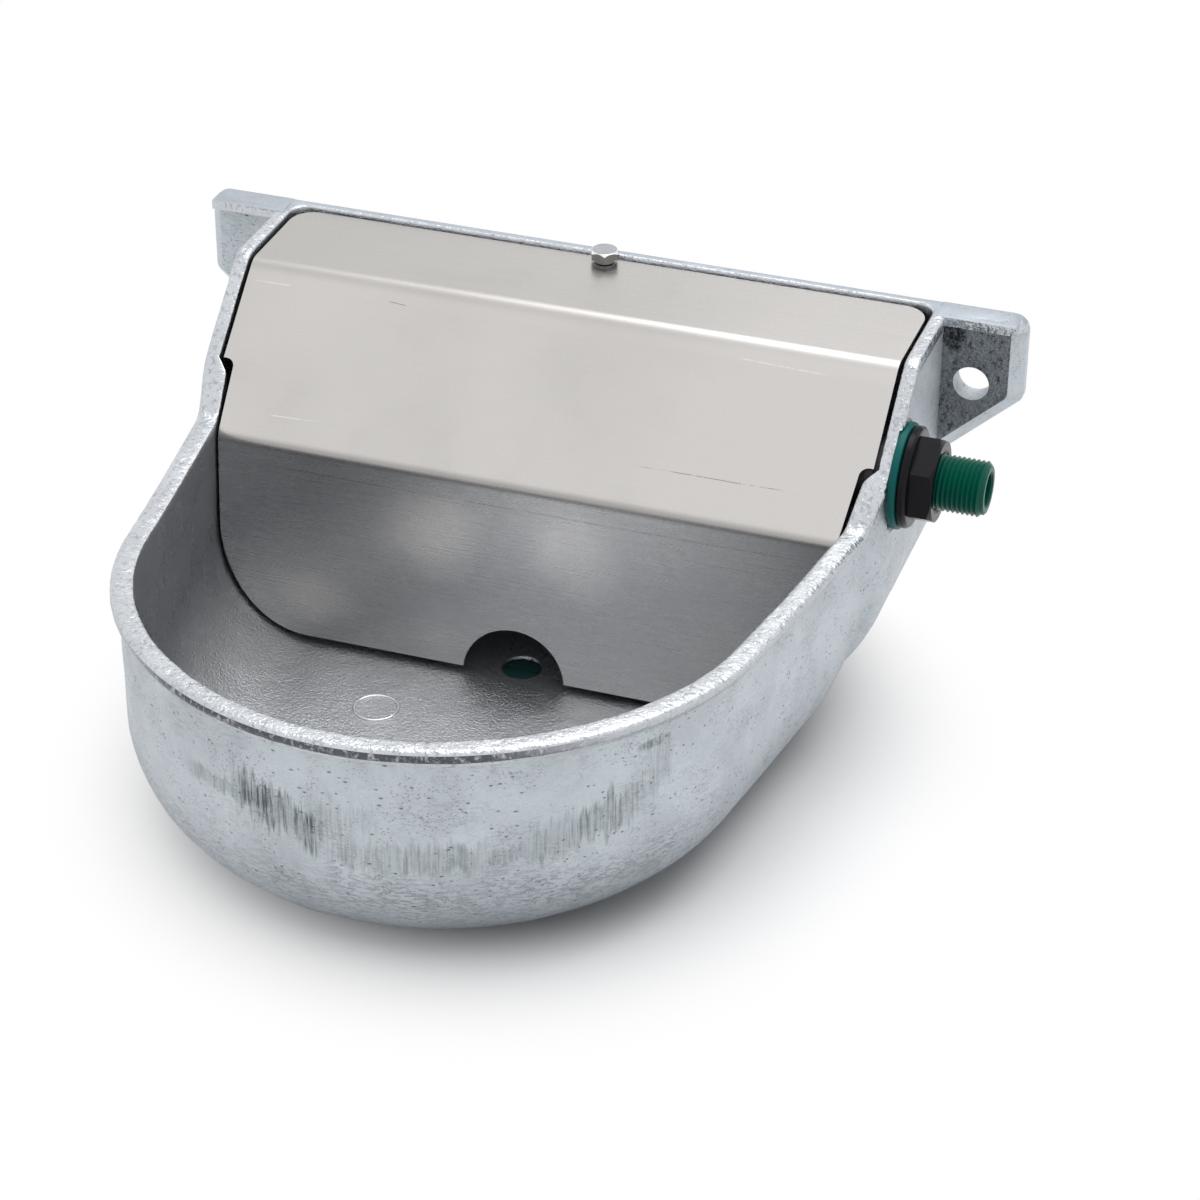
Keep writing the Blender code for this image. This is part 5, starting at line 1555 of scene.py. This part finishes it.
@dataclass
class ShieldCover:
    """The bent stainless cover, folded from a flat blank."""

    top_z: float = 0.0258
    floor_z: float = -0.1017
    sheet: float = 0.0012
    back_y: float = -0.0045
    bend_y: float = -0.0500
    slope: float = math.radians(41.6)
    slope_length: float = 0.0715
    lean: float = math.radians(6.5)
    floor_gap: float = 0.0025
    bend_radius: float = 0.0080
    bend_steps: int = 20
    rear_half: float = 0.1280
    corner: float = 0.0100
    notch_radius: float = 0.0034
    notch_flat: float = 0.0014
    front_gap: float = 0.0009
    low_corner: Point = (0.0360, 0.0440)
    port_radius: float = 0.0202
    port_drop: float = 0.0016
    screw_y: float = -0.0077
    slot_radius: float = 0.0033
    edge: float = 0.00022

    def __post_init__(self) -> None:
        """Work out the lengths of the facets along the sheet."""
        self.turns = (0.0, self.slope, math.pi / 2 - self.lean)
        low_z = self.floor_z + self.floor_gap
        drop = self.top_z - self.slope_length * math.sin(self.slope) - low_z
        self.lengths = (self.back_y - self.bend_y, self.slope_length, drop / math.cos(self.lean))
        self.bends = (self.lengths[0], self.lengths[0] + self.lengths[1])
        self.total = sum(self.lengths)
        self.starts = [Vector((self.back_y, self.top_z))]
        for turn, length in zip(self.turns, self.lengths):
            step = length * Vector((-math.cos(turn), -math.sin(turn)))
            self.starts.append(self.starts[-1] + step)

    def half_bend(self, index: int) -> float:
        """Return how far a bend reaches each way along the sheet."""
        return self.bend_radius * math.tan((self.turns[index + 1] - self.turns[index]) / 2)

    def point(self, along: float, depth: float) -> Vector:
        """Fold a point of the flat sheet.

        Args:
            along: How far from the back it lies on the flat sheet.
            depth: How far under the upper surface it lies.

        Returns:
            Its place in YZ.
        """
        for index, bend in enumerate(self.bends):
            reach = self.half_bend(index)
            if abs(along - bend) <= reach:
                first, last = self.turns[index], self.turns[index + 1]
                turn = first + (last - first) * (along - bend + reach) / (2 * reach)
                corner = self.starts[index + 1] + reach * Vector((math.cos(first), math.sin(first)))
                centre = corner - self.bend_radius * Vector((-math.sin(first), math.cos(first)))
                radius = self.bend_radius - depth
                return centre + radius * Vector((-math.sin(turn), math.cos(turn)))
        index = sum(along > bend for bend in self.bends)
        turn = self.turns[index]
        start = sum(self.lengths[:index])
        place = self.starts[index] + (along - start) * Vector((-math.cos(turn), -math.sin(turn)))
        return place - depth * Vector((-math.sin(turn), math.cos(turn)))

    def half_outline(self, wall: WallLine) -> list[Point]:
        """Trace the right half of the flat sheet, from the back to the port.

        Args:
            wall: The casting's inner surface, which the sheet follows.

        Returns:
            Points across and along the sheet.
        """
        centre = (self.rear_half - self.corner, self.corner)
        points = arc(centre, self.corner, -math.pi / 2, 0.0, 10)
        notch = self.bends[0] + (self.bend_y + 0.0820) / math.cos(self.slope) - self.notch_flat
        low_start = self.total - self.low_corner[1]
        widths = [wall.side(self.point(along, 0.0).x, 0.0).x - self.front_gap
                  for along in (self.bends[1], low_start)]
        below = self.rear_half - self.notch_flat - self.notch_radius
        points.append((self.rear_half, notch))
        points += arc((below + self.notch_radius, notch + self.notch_radius), self.notch_radius,
                      -math.pi / 2, -math.pi, 10)
        points += [(widths[0], self.bends[1]), (widths[1], low_start)]
        for index in range(1, 25):
            angle = math.pi / 2 * index / 24
            points.append((widths[1] - self.low_corner[0] * (1.0 - math.cos(angle)),
                           low_start + self.low_corner[1] * math.sin(angle)))
        first = math.asin(self.port_drop / self.port_radius)
        port = (0.0, self.total + self.port_drop)
        return points + arc(port, self.port_radius, -first, -math.pi / 2, 28)

    def build(self, wall: WallLine, material: bpy.types.Material) -> bpy.types.Object:
        """Cut out the blank, fold it and break its edges.

        Args:
            wall: The casting's inner surface, which the cover follows.
            material: The sheet's material.

        Returns:
            The cover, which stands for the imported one.
        """
        half = self.half_outline(wall)
        outline = half + [(-across, along) for across, along in reversed(half[:-1])]
        bm = bmesh.new()
        bm.faces.new([bm.verts.new((across, along, 0.0)) for across, along in outline])
        cuts = [bend - self.half_bend(index) + 2 * self.half_bend(index) * step / self.bend_steps
                for index, bend in enumerate(self.bends) for step in range(self.bend_steps + 1)]
        for along in cuts:
            parts = list(bm.verts) + list(bm.edges) + list(bm.faces)
            bmesh.ops.bisect_plane(bm, geom=parts, plane_co=(0.0, along, 0.0),
                                   plane_no=(0.0, 1.0, 0.0))
        lower = bmesh.ops.extrude_face_region(bm, geom=list(bm.faces))["geom"]
        for vert in [part for part in lower if isinstance(part, bmesh.types.BMVert)]:
            vert.co.z = self.sheet
        for vert in bm.verts:
            vert.co = (vert.co.x, *self.point(vert.co.y, vert.co.z))
        cover = make_piece("steel_cover", bm, [material])
        outline = arc((0.0, self.screw_y), self.slot_radius, math.pi, math.tau, 20)
        open_y = self.back_y + 0.003
        outline += [(self.slot_radius, open_y), (-self.slot_radius, open_y)]
        slot = make_piece("slot", extruded(outline, self.top_z - 0.003, self.top_z + 0.003))
        combine(cover, slot, "DIFFERENCE")
        soften(cover, self.edge, 2, 40.0)
        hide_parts("cover_plate")
        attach(cover, "cover")
        return cover


def hexagon(flats: float, length: float, chamfer: float, turn: float) -> bpy.types.Object:
    """Make a hexagonal prism along the local Z axis, its far corners turned off.

    Args:
        flats: Its width across flats.
        length: Its length.
        chamfer: The size of the turned corners.
        turn: Where its first corner lies, in radians.

    Returns:
        The prism.
    """
    corner = flats / 2 / math.cos(math.pi / 6)
    rings = [ring_of(corner, level, 6, turn) for level in (0.0, length)]
    prism = make_piece("hexagon", skin_rings(rings))
    profile = [(corner + chamfer, -chamfer), (corner + chamfer, length - 2 * chamfer),
               (flats / 2 - chamfer / 2, length + 0.0003)]
    combine(prism, make_piece("chamfer", turned(profile, 72)), "INTERSECT")
    return prism


@dataclass
class CoverScrew:
    """The hexagon screw that holds the cover to its boss."""

    place: tuple[float, float, float] = (0.0, -0.0077, 0.0258)
    head_z: float = 0.0018
    flats: float = 0.0100
    height: float = 0.0034
    chamfer: float = 0.0010
    turn: float = math.radians(18.9 - 90.0)

    def build(self, materials: Sequence[bpy.types.Material]) -> bpy.types.Object:
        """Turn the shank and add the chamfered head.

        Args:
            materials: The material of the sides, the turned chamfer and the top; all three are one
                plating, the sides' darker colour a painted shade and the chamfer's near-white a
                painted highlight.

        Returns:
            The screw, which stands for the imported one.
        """
        shank = [(0.0024, -0.0138), (0.0030, -0.0132), (0.0030, 0.0003), (0.0039, 0.0003),
                 (0.0039, self.head_z + 0.0003)]
        screw = make_piece("hexagon_screw", turned(shank, 40), materials)
        head = hexagon(self.flats, self.height, self.chamfer, self.turn)
        head.data.transform(Matrix.Translation((0.0, 0.0, self.head_z)))
        combine(screw, head, "UNION")
        soften(screw, 0.00025, 2, 25.0)
        # Faces take a colour by which way they point: painted shade on the sides, a painted
        # highlight on the chamfer.
        for face in screw.data.polygons:
            face.material_index = int(face.normal.z > 0.25) + int(face.normal.z > 0.97)
        screw.data.transform(Matrix.Translation(self.place))
        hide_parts("cover_screw")
        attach(screw, "cover")
        return screw


# The inlet


@dataclass
class InletUnion:
    """The threaded inlet with its gasket and flanged lock nut, all about one axis along X."""

    y: float = -0.0660
    z: float = -0.0109
    tip_x: float = 0.1103
    root_x: float = 0.1243
    flange_x: float = 0.1273
    end_x: float = 0.1676
    gasket_x: float = 0.1343
    nut_x: float = 0.1376
    spigot: float = 0.0090
    bore: float = 0.0063
    crest: float = 0.010478
    thread_depth: float = 0.00116
    pitch: float = 0.001814
    groove: tuple[float, float, float] = (0.0040, 0.0064, 0.0075)
    flange_radius: float = 0.0150
    clear_bore: float = 0.01078
    gasket_radius: float = 0.0199
    gasket_thick: float = 0.0030
    gasket_round: float = 0.0006
    nut_radius: float = 0.0190
    nut_flange: float = 0.0036
    nut_length: float = 0.0122
    nut_flats: float = 0.0297

    def _place(self, x: float) -> Matrix:
        """Return the placement of a turned piece on the axis, its local Z along +X."""
        return Matrix.Translation((x, self.y, self.z)) @ Matrix.Rotation(math.pi / 2, 4, "Y")

    def _thread_graph(self) -> Graph:
        """Make the tree that sweeps a ridge along a helix.

        Returns:
            The tree's graph.
        """
        graph, given, result = geometry_graph("inlet_thread", (
            ("Turns", "NodeSocketFloat"), ("Radius", "NodeSocketFloat"),
            ("Length", "NodeSocketFloat"), ("Ridge", "NodeSocketFloat"),
            ("Finish", "NodeSocketMaterial")))
        helix = graph.add("GeometryNodeCurveSpiral", None, {
            "Resolution": 64, "Rotations": given.out("Turns"), "Start Radius": given.out("Radius"),
            "End Radius": given.out("Radius"), "Height": given.out("Length")})
        upright = graph.add("GeometryNodeSetCurveNormal", {"mode": "Z_UP"}, {
            "Curve": helix.out("Curve")})
        profile = graph.add("GeometryNodeCurvePrimitiveCircle", {"mode": "RADIUS"}, {
            "Resolution": 4, "Radius": given.out("Ridge")})
        ridge = graph.add("GeometryNodeCurveToMesh", None, {
            0: upright.out("Curve"), 1: profile.out("Curve"), "Fill Caps": True})
        end_graph(graph, given, result, ridge.out("Mesh"))
        return graph

    def build_fitting(self, material: bpy.types.Material,
                      inner: bpy.types.Material) -> list[bpy.types.Object]:
        """Build the threaded fitting and the ridge of its thread.

        Args:
            material: The plastic of the thread.
            inner: The darker plastic of the flange and spigot inside the bowl.

        Returns:
            The fitting and the ridge.
        """
        root, flange, end = [x - self.tip_x for x in (self.root_x, self.flange_x, self.end_x)]
        core = self.crest - self.thread_depth
        near, far, deep = self.groove
        profile = [(self.bore, 0.0), (self.spigot, 0.0), (self.spigot, near), (deep, near),
                   (deep, far), (self.spigot, far), (self.spigot, root), (self.flange_radius, root),
                   (self.flange_radius, flange), (core, flange), (core, end - 0.0005),
                   (core - 0.0006, end), (self.bore + 0.0006, end), (self.bore, end - 0.0008)]
        fitting = make_piece("inlet_pipe", turned(profile, 96, True), [material, inner],
                             self._place(self.tip_x))
        for face in fitting.data.polygons:
            face.material_index = int(face.center.x < self.flange_x + 0.0001)
        start = flange + 0.0012
        turns = (end - start - 0.0016) / self.pitch
        ridge = make_piece("inlet_thread", bmesh.new())
        grown("inlet_thread", self._thread_graph(), ridge, {
            "Turns": turns, "Radius": core, "Length": turns * self.pitch,
            "Ridge": self.thread_depth, "Finish": material})
        ridge.data.transform(self._place(self.tip_x + start))
        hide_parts("inlet_fitting")
        for item in (fitting, ridge):
            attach(item, "bowl")
        return [fitting, ridge]

    def build_gasket(self, material: bpy.types.Material) -> bpy.types.Object:
        """Build the coloured gasket between the casting and the nut, its rim rounded.

        Args:
            material: The gasket's material.

        Returns:
            The gasket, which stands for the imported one.
        """
        outer, thick, edge = self.gasket_radius, self.gasket_thick, self.gasket_round
        profile = [(self.clear_bore, 0.0), (outer - edge, 0.0), (outer - 0.0002, 0.0002),
                   (outer, edge), (outer, thick - edge), (outer - 0.0002, thick - 0.0002),
                   (outer - edge, thick), (self.clear_bore, thick)]
        gasket = make_piece("inlet_gasket", turned(profile, 96, True), [material],
                            self._place(self.gasket_x))
        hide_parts("outer_gasket")
        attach(gasket, "bowl")
        return gasket

    def build_nut(self, material: bpy.types.Material) -> bpy.types.Object:
        """Build the flanged lock nut.

        Args:
            material: The nut's material.

        Returns:
            The nut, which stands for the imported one.
        """
        flange, length, radius = self.nut_flange, self.nut_length, self.nut_radius
        profile = [(radius - 0.0005, 0.0), (radius, 0.0005), (radius, flange - 0.0012),
                   (radius - 0.0008, flange - 0.0003), (radius - 0.0020, flange)]
        nut = make_piece("lock_nut_body", turned(profile, 96), [material])
        head = hexagon(self.nut_flats, length - flange / 2, 0.0011, math.radians(-3.0))
        head.data.transform(Matrix.Translation((0.0, 0.0, flange / 2)))
        combine(nut, head, "UNION")
        bore = self.clear_bore
        hole = [(bore + 0.0012, -0.0005), (bore, 0.0010), (bore, length - 0.0010),
                (bore + 0.0014, length + 0.0003)]
        combine(nut, make_piece("bore", turned(hole, 96)), "DIFFERENCE")
        soften(nut, 0.00035, 3, 24.0)
        nut.data.transform(self._place(self.nut_x))
        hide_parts("lock_nut")
        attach(nut, "bowl")
        return nut


# Pieces under the cover and the drain


@dataclass(frozen=True)
class Inner:
    """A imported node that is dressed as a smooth-edged copy."""

    node: str
    name: str
    body: str
    slot: str
    finish: Union[MouldedFinish, PlatedFinish]
    edge: float


INNER_PIECES = (
    Inner("valve_housing", "valve_body", "bowl", "grey_plastic",
          MouldedFinish("grey_nylon", (0.045, 0.047, 0.05), 0.45), 0.0004),
    Inner("inner_gasket", "inner_seal", "bowl", "black_rubber",
          MouldedFinish("black_seal_rubber", (0.02, 0.02, 0.022), 0.6), 0.0003),
    Inner("nozzle", "valve_nozzle", "bowl", "white_plastic",
          MouldedFinish("white_acetal", (0.75, 0.75, 0.72), 0.4), 0.0002),
    Inner("spigot_seal_ring", "seal_ring", "bowl", "black_rubber",
          MouldedFinish("ring_rubber", (0.02, 0.02, 0.022), 0.6), 0.0001),
    Inner("housing_screw", "clamp_screw", "bowl", "stainless_screw",
          PlatedFinish("clamp_screw_steel", (0.6, 0.6, 0.6), 0.3), 0.0002),
    Inner("pivot_pin", "hinge_pin", "bowl", "pin_steel",
          PlatedFinish("hinge_pin_steel", (0.62, 0.62, 0.62), 0.25), 0.0001),
    Inner("front_pin_clip", "front_clip", "bowl", "pin_steel",
          PlatedFinish("front_clip_steel", (0.62, 0.62, 0.62), 0.3), 0.0001),
    Inner("rear_pin_clip", "rear_clip", "bowl", "pin_steel",
          PlatedFinish("rear_clip_steel", (0.62, 0.62, 0.62), 0.3), 0.0001),
    Inner("float_lever", "lever_arm", "float_arm", "lever_plastic",
          MouldedFinish("lever_nylon", (0.05, 0.05, 0.055), 0.45), 0.0004),
    Inner("seal_disc", "valve_disc", "float_arm", "disc_rubber",
          MouldedFinish("disc_rubber_face", (0.03, 0.03, 0.03), 0.65), 0.0002),
    Inner("float", "float_body", "float_arm", "float_plastic",
          MouldedFinish("float_shell", (0.72, 0.72, 0.68), 0.4), 0.0003),
    Inner("float_screw", "float_fixing", "float_arm", "float_screw_steel",
          PlatedFinish("float_fixing_steel", (0.6, 0.6, 0.6), 0.3), 0.0002),
    Inner("drain_plug", "drain_stopper", "drain", "plug_rubber",
          MouldedFinish("stopper_rubber", (0.006, 0.040, 0.040), 0.45), 0.0002),
    Inner("drain_seal", "stopper_seal", "drain", "seal_rubber",
          MouldedFinish("stopper_seal_rubber", (0.03, 0.03, 0.03), 0.6), 0.0001),
)


def dress_inner(piece: Inner) -> bpy.types.Object:
    """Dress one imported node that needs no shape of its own.

    Args:
        piece: The node and its finish.

    Returns:
        The dressed copy.
    """
    item = node_copy(piece.node, piece.name, piece.finish.material(), piece.edge)
    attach(item, piece.body)
    return item


# Studio


@dataclass
class Softbox:
    """A soft lamp that looks at a point."""

    name: str
    place: tuple[float, float, float]
    size: Point
    power: float
    mirrored: bool = True
    target: tuple[float, float, float] = (0.0, -0.14, -0.06)

    def build(self) -> bpy.types.Object:
        """Hang the lamp.

        Returns:
            The lamp's object.
        """
        data = bpy.data.lights.new(self.name, "AREA")
        data.shape = "RECTANGLE"
        data.size, data.size_y = self.size
        data.energy = self.power
        lamp = bpy.data.objects.new(self.name, data)
        bpy.context.scene.collection.objects.link(lamp)
        lamp.visible_glossy = self.mirrored
        lamp.location = self.place
        aim = Vector(self.target) - Vector(self.place)
        lamp.rotation_euler = aim.to_track_quat("-Z", "Y").to_euler()
        return lamp


@dataclass
class Studio:
    """The floor, the white surroundings, the lamps and the camera."""

    floor_z: float = -0.1077
    floor_half: float = 6.0
    world_level: float = 0.40
    middle: tuple[float, float, float] = (0.02, -0.15, -0.1077)
    clear_from: float = 0.095
    clear_to: float = 0.185
    yaw: float = math.radians(18.837)
    pitch: float = math.radians(32.093)
    roll: float = math.radians(0.323)
    camera_place: tuple[float, float, float] = (0.39469, -1.16778, 0.64108)
    lens: float = 106.893
    sensor: float = 36.0

    def _outline_rays(self, graph: Graph) -> Signal:
        """Find the rays that see the surroundings as a background.

        Args:
            graph: The tree that asks.

        Returns:
            1 for those rays, and 0 for the others.
        """
        rays = graph.add("ShaderNodeLightPath")
        seen = rays.out("Is Camera Ray").largest(rays.out("Is Glossy Ray"))
        return seen.largest(rays.out("Is Transmission Ray"))

    def build_world(self) -> None:
        """Surround the scene with white where it shows, and a plain level of light elsewhere."""
        world = bpy.data.worlds.new("studio")
        bpy.context.scene.world = world
        world.use_nodes = True
        graph = Graph(world.node_tree)
        back = world.node_tree.nodes["Background"]
        back.inputs["Color"].default_value = (1.0, 1.0, 1.0, 1.0)
        level = self._outline_rays(graph) * (1.0 - self.world_level) + self.world_level
        world.node_tree.links.new(level.socket, back.inputs["Strength"])

    def build_floor(self) -> bpy.types.Object:
        """Lay the pale floor, which keeps the bowl's shadow and fades to white.

        Returns:
            The floor.
        """
        half = self.floor_half
        bm = bmesh.new()
        bm.faces.new([bm.verts.new((x, y, self.floor_z)) for x, y in
                      ((-half, -half), (half, -half), (half, half), (-half, half))])
        made = Surface("pale_floor")
        far = made.add("ShaderNodeVectorMath", {"operation": "DISTANCE"},
                       {0: made.place, 1: self.middle}).out("Value")
        material = made.finish(Base_Color=(0.84, 0.84, 0.85), Roughness=0.9,
                               Specular_IOR_Level=0.1)
        white = {"Color": (1.0, 1.0, 1.0, 1.0), "Strength": 1.0}
        glow = made.add("ShaderNodeEmission", None, white)
        mixed = made.add("ShaderNodeMixShader", None, {
            0: far.step(self.clear_from, self.clear_to) * self._outline_rays(made)})
        made.tree.links.new(made.shader.outputs[0], mixed.node.inputs[1])
        made.tree.links.new(glow.node.outputs[0], mixed.node.inputs[2])
        output = next(node for node in made.tree.nodes
                      if node.bl_idname == "ShaderNodeOutputMaterial")
        made.tree.links.new(mixed.node.outputs[0], output.inputs["Surface"])
        floor = make_piece("floor", bm, [material])
        return floor

    def build_camera(self) -> bpy.types.Object:
        """Set the camera where the photograph was taken from.

        Returns:
            The camera.
        """
        data = bpy.data.cameras.new("camera")
        data.lens, data.sensor_width, data.sensor_fit = self.lens, self.sensor, "HORIZONTAL"
        data.clip_start, data.clip_end = 0.01, 50.0
        camera = bpy.data.objects.new("camera", data)
        bpy.context.scene.collection.objects.link(camera)
        back = Vector((math.sin(self.yaw) * math.cos(self.pitch),
                       -math.cos(self.yaw) * math.cos(self.pitch), math.sin(self.pitch)))
        right = Vector((math.cos(self.yaw), math.sin(self.yaw), 0.0))
        up = back.cross(right)
        turned_right = math.cos(self.roll) * right + math.sin(self.roll) * up
        turned_up = math.cos(self.roll) * up - math.sin(self.roll) * right
        frame_axes = Matrix((turned_right, turned_up, back)).transposed()
        camera.matrix_world = Matrix.Translation(self.camera_place) @ frame_axes.to_4x4()
        bpy.context.scene.camera = camera
        return camera

    def build(self) -> None:
        """Set up the whole studio."""
        bpy.context.scene.view_settings.view_transform = "Standard"
        self.build_world()
        self.build_floor()
        self.build_camera()
        for lamp in SOFTBOXES:
            lamp.build()


SOFTBOXES = (
    Softbox("overhead", (0.0, -0.15, 1.5), (2.2, 2.2), 26.0, False),
    Softbox("strip", (0.20, 0.40, 1.2), (1.3, 0.80), 6.6),
)

ZINC_FINISHES = {
    Zone.SKIN: ZincFinish("zinc_skin", (0.64, 0.695, 0.74), (0.13, 0.16, 0.18), 0.50, 0.46, 0.12,
                          900.0, 0.00026, 110.0, 0.0006, 1.0, worn=True),
    Zone.INSIDE: ZincFinish("zinc_inside", (0.60, 0.625, 0.665), (0.15, 0.15, 0.155), 0.95, 0.28,
                            0.10, 850.0, 0.00040, 60.0, 0.0005, 0.25,
                            side_colour=(0.42, 0.435, 0.46)),
    Zone.BEAD: ZincFinish("zinc_bead", (0.68, 0.71, 0.75), (0.12, 0.125, 0.15), 0.95, 0.23, 0.10,
                          650.0, 0.00018, 280.0, 0.0006, 0.3, ridges=1.4, streaks=0.45),
    # UNDER is painted shade under the bead, paler towards the sides where that shade thins
    Zone.UNDER: ZincFinish("zinc_painted_shade_under_bead", (0.10, 0.11, 0.13), (0.55, 0.57, 0.60), 0.90, 0.26,
                           0.14, 650.0, 0.00040, 280.0, 0.0009, 0.7, ridges=1.5, streaks=0.7,
                           side_colour=(0.56, 0.59, 0.63)),
    # The web's dark colour is a painted dark reflection; its crust is burnt-on sand
    Zone.WEB: ZincFinish("zinc_web_painted_dark_reflection", (0.21, 0.23, 0.25), (0.04, 0.04, 0.045), 0.95, 0.26, 0.16,
                         700.0, 0.00080, 240.0, 0.0008, 0.8, streaks=0.85,
                         crust=(0.1385, 0.0200, 0.0062)),
    Zone.TOP: ZincFinish("zinc_top", (0.44, 0.48, 0.53), (0.22, 0.24, 0.27), 0.60, 0.40, 0.12,
                         900.0, 0.00020, 110.0, 0.0005, 0.5),
}
# The floor mark's near-white colour is a painted highlight along the raised ring
MARK_HIGHLIGHT_FINISH = ZincFinish("zinc_mark_painted_highlight", (0.90, 0.91, 0.93), (0.60, 0.61, 0.63), 0.95, 0.18, 0.06,
                         600.0, 0.00005, 60.0, 0.0001, 0.0)


def report(items: Iterable[bpy.types.Object]) -> None:
    """Log each piece with its face count."""
    for item in items:
        LOG.info("%s: %d faces", item.name, len(item.data.polygons))


def main() -> None:
    """Build and dress every sub-assembly in order."""
    logging.basicConfig(level=logging.INFO, format="%(name)s %(message)s")
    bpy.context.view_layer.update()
    finishes = {zone: finish.material() for zone, finish in ZINC_FINISHES.items()}
    casting = BowlCasting()
    bowl = casting.build(finishes)
    report([bowl, FloorMark().build(MARK_HIGHLIGHT_FINISH.material())])
    report([ZincPimples().build(casting, bowl, finishes[Zone.SKIN])])
    cover = ShieldCover().build(casting.inner, BrushedFinish().material())
    # One plating in three colours: painted shade on the sides, a painted highlight on the chamfer
    screw = CoverScrew().build([finish.material() for finish in (
        PlatedFinish("screw_side_painted_shade", (0.30, 0.30, 0.29), 0.26),
        PlatedFinish("screw_chamfer_painted_highlight", (0.92, 0.92, 0.92), 0.16),
        PlatedFinish("screw_top", (0.46, 0.475, 0.51), 0.30))])
    report([cover, screw])
    inlet = InletUnion()
    green = MouldedFinish("green_pipe_plastic", (0.0, 0.075, 0.050), 0.30, specular=0.16, dust=0.0)
    teal = MouldedFinish("teal_gasket_rubber", (0.0, 0.085, 0.080), 0.40, specular=0.2, dust=0.0)
    black = MouldedFinish("black_nut_plastic", (0.004, 0.0035, 0.006), 0.24, specular=0.16,
                          dust=0.0)
    spigot = MouldedFinish("black_spigot_plastic", (0.012, 0.012, 0.013), 0.42)
    report(inlet.build_fitting(green.material(), spigot.material()))
    report([inlet.build_gasket(teal.material()), inlet.build_nut(black.material())])
    report(dress_inner(piece) for piece in INNER_PIECES)
    Studio().build()


if __name__ == "__main__":
    main()
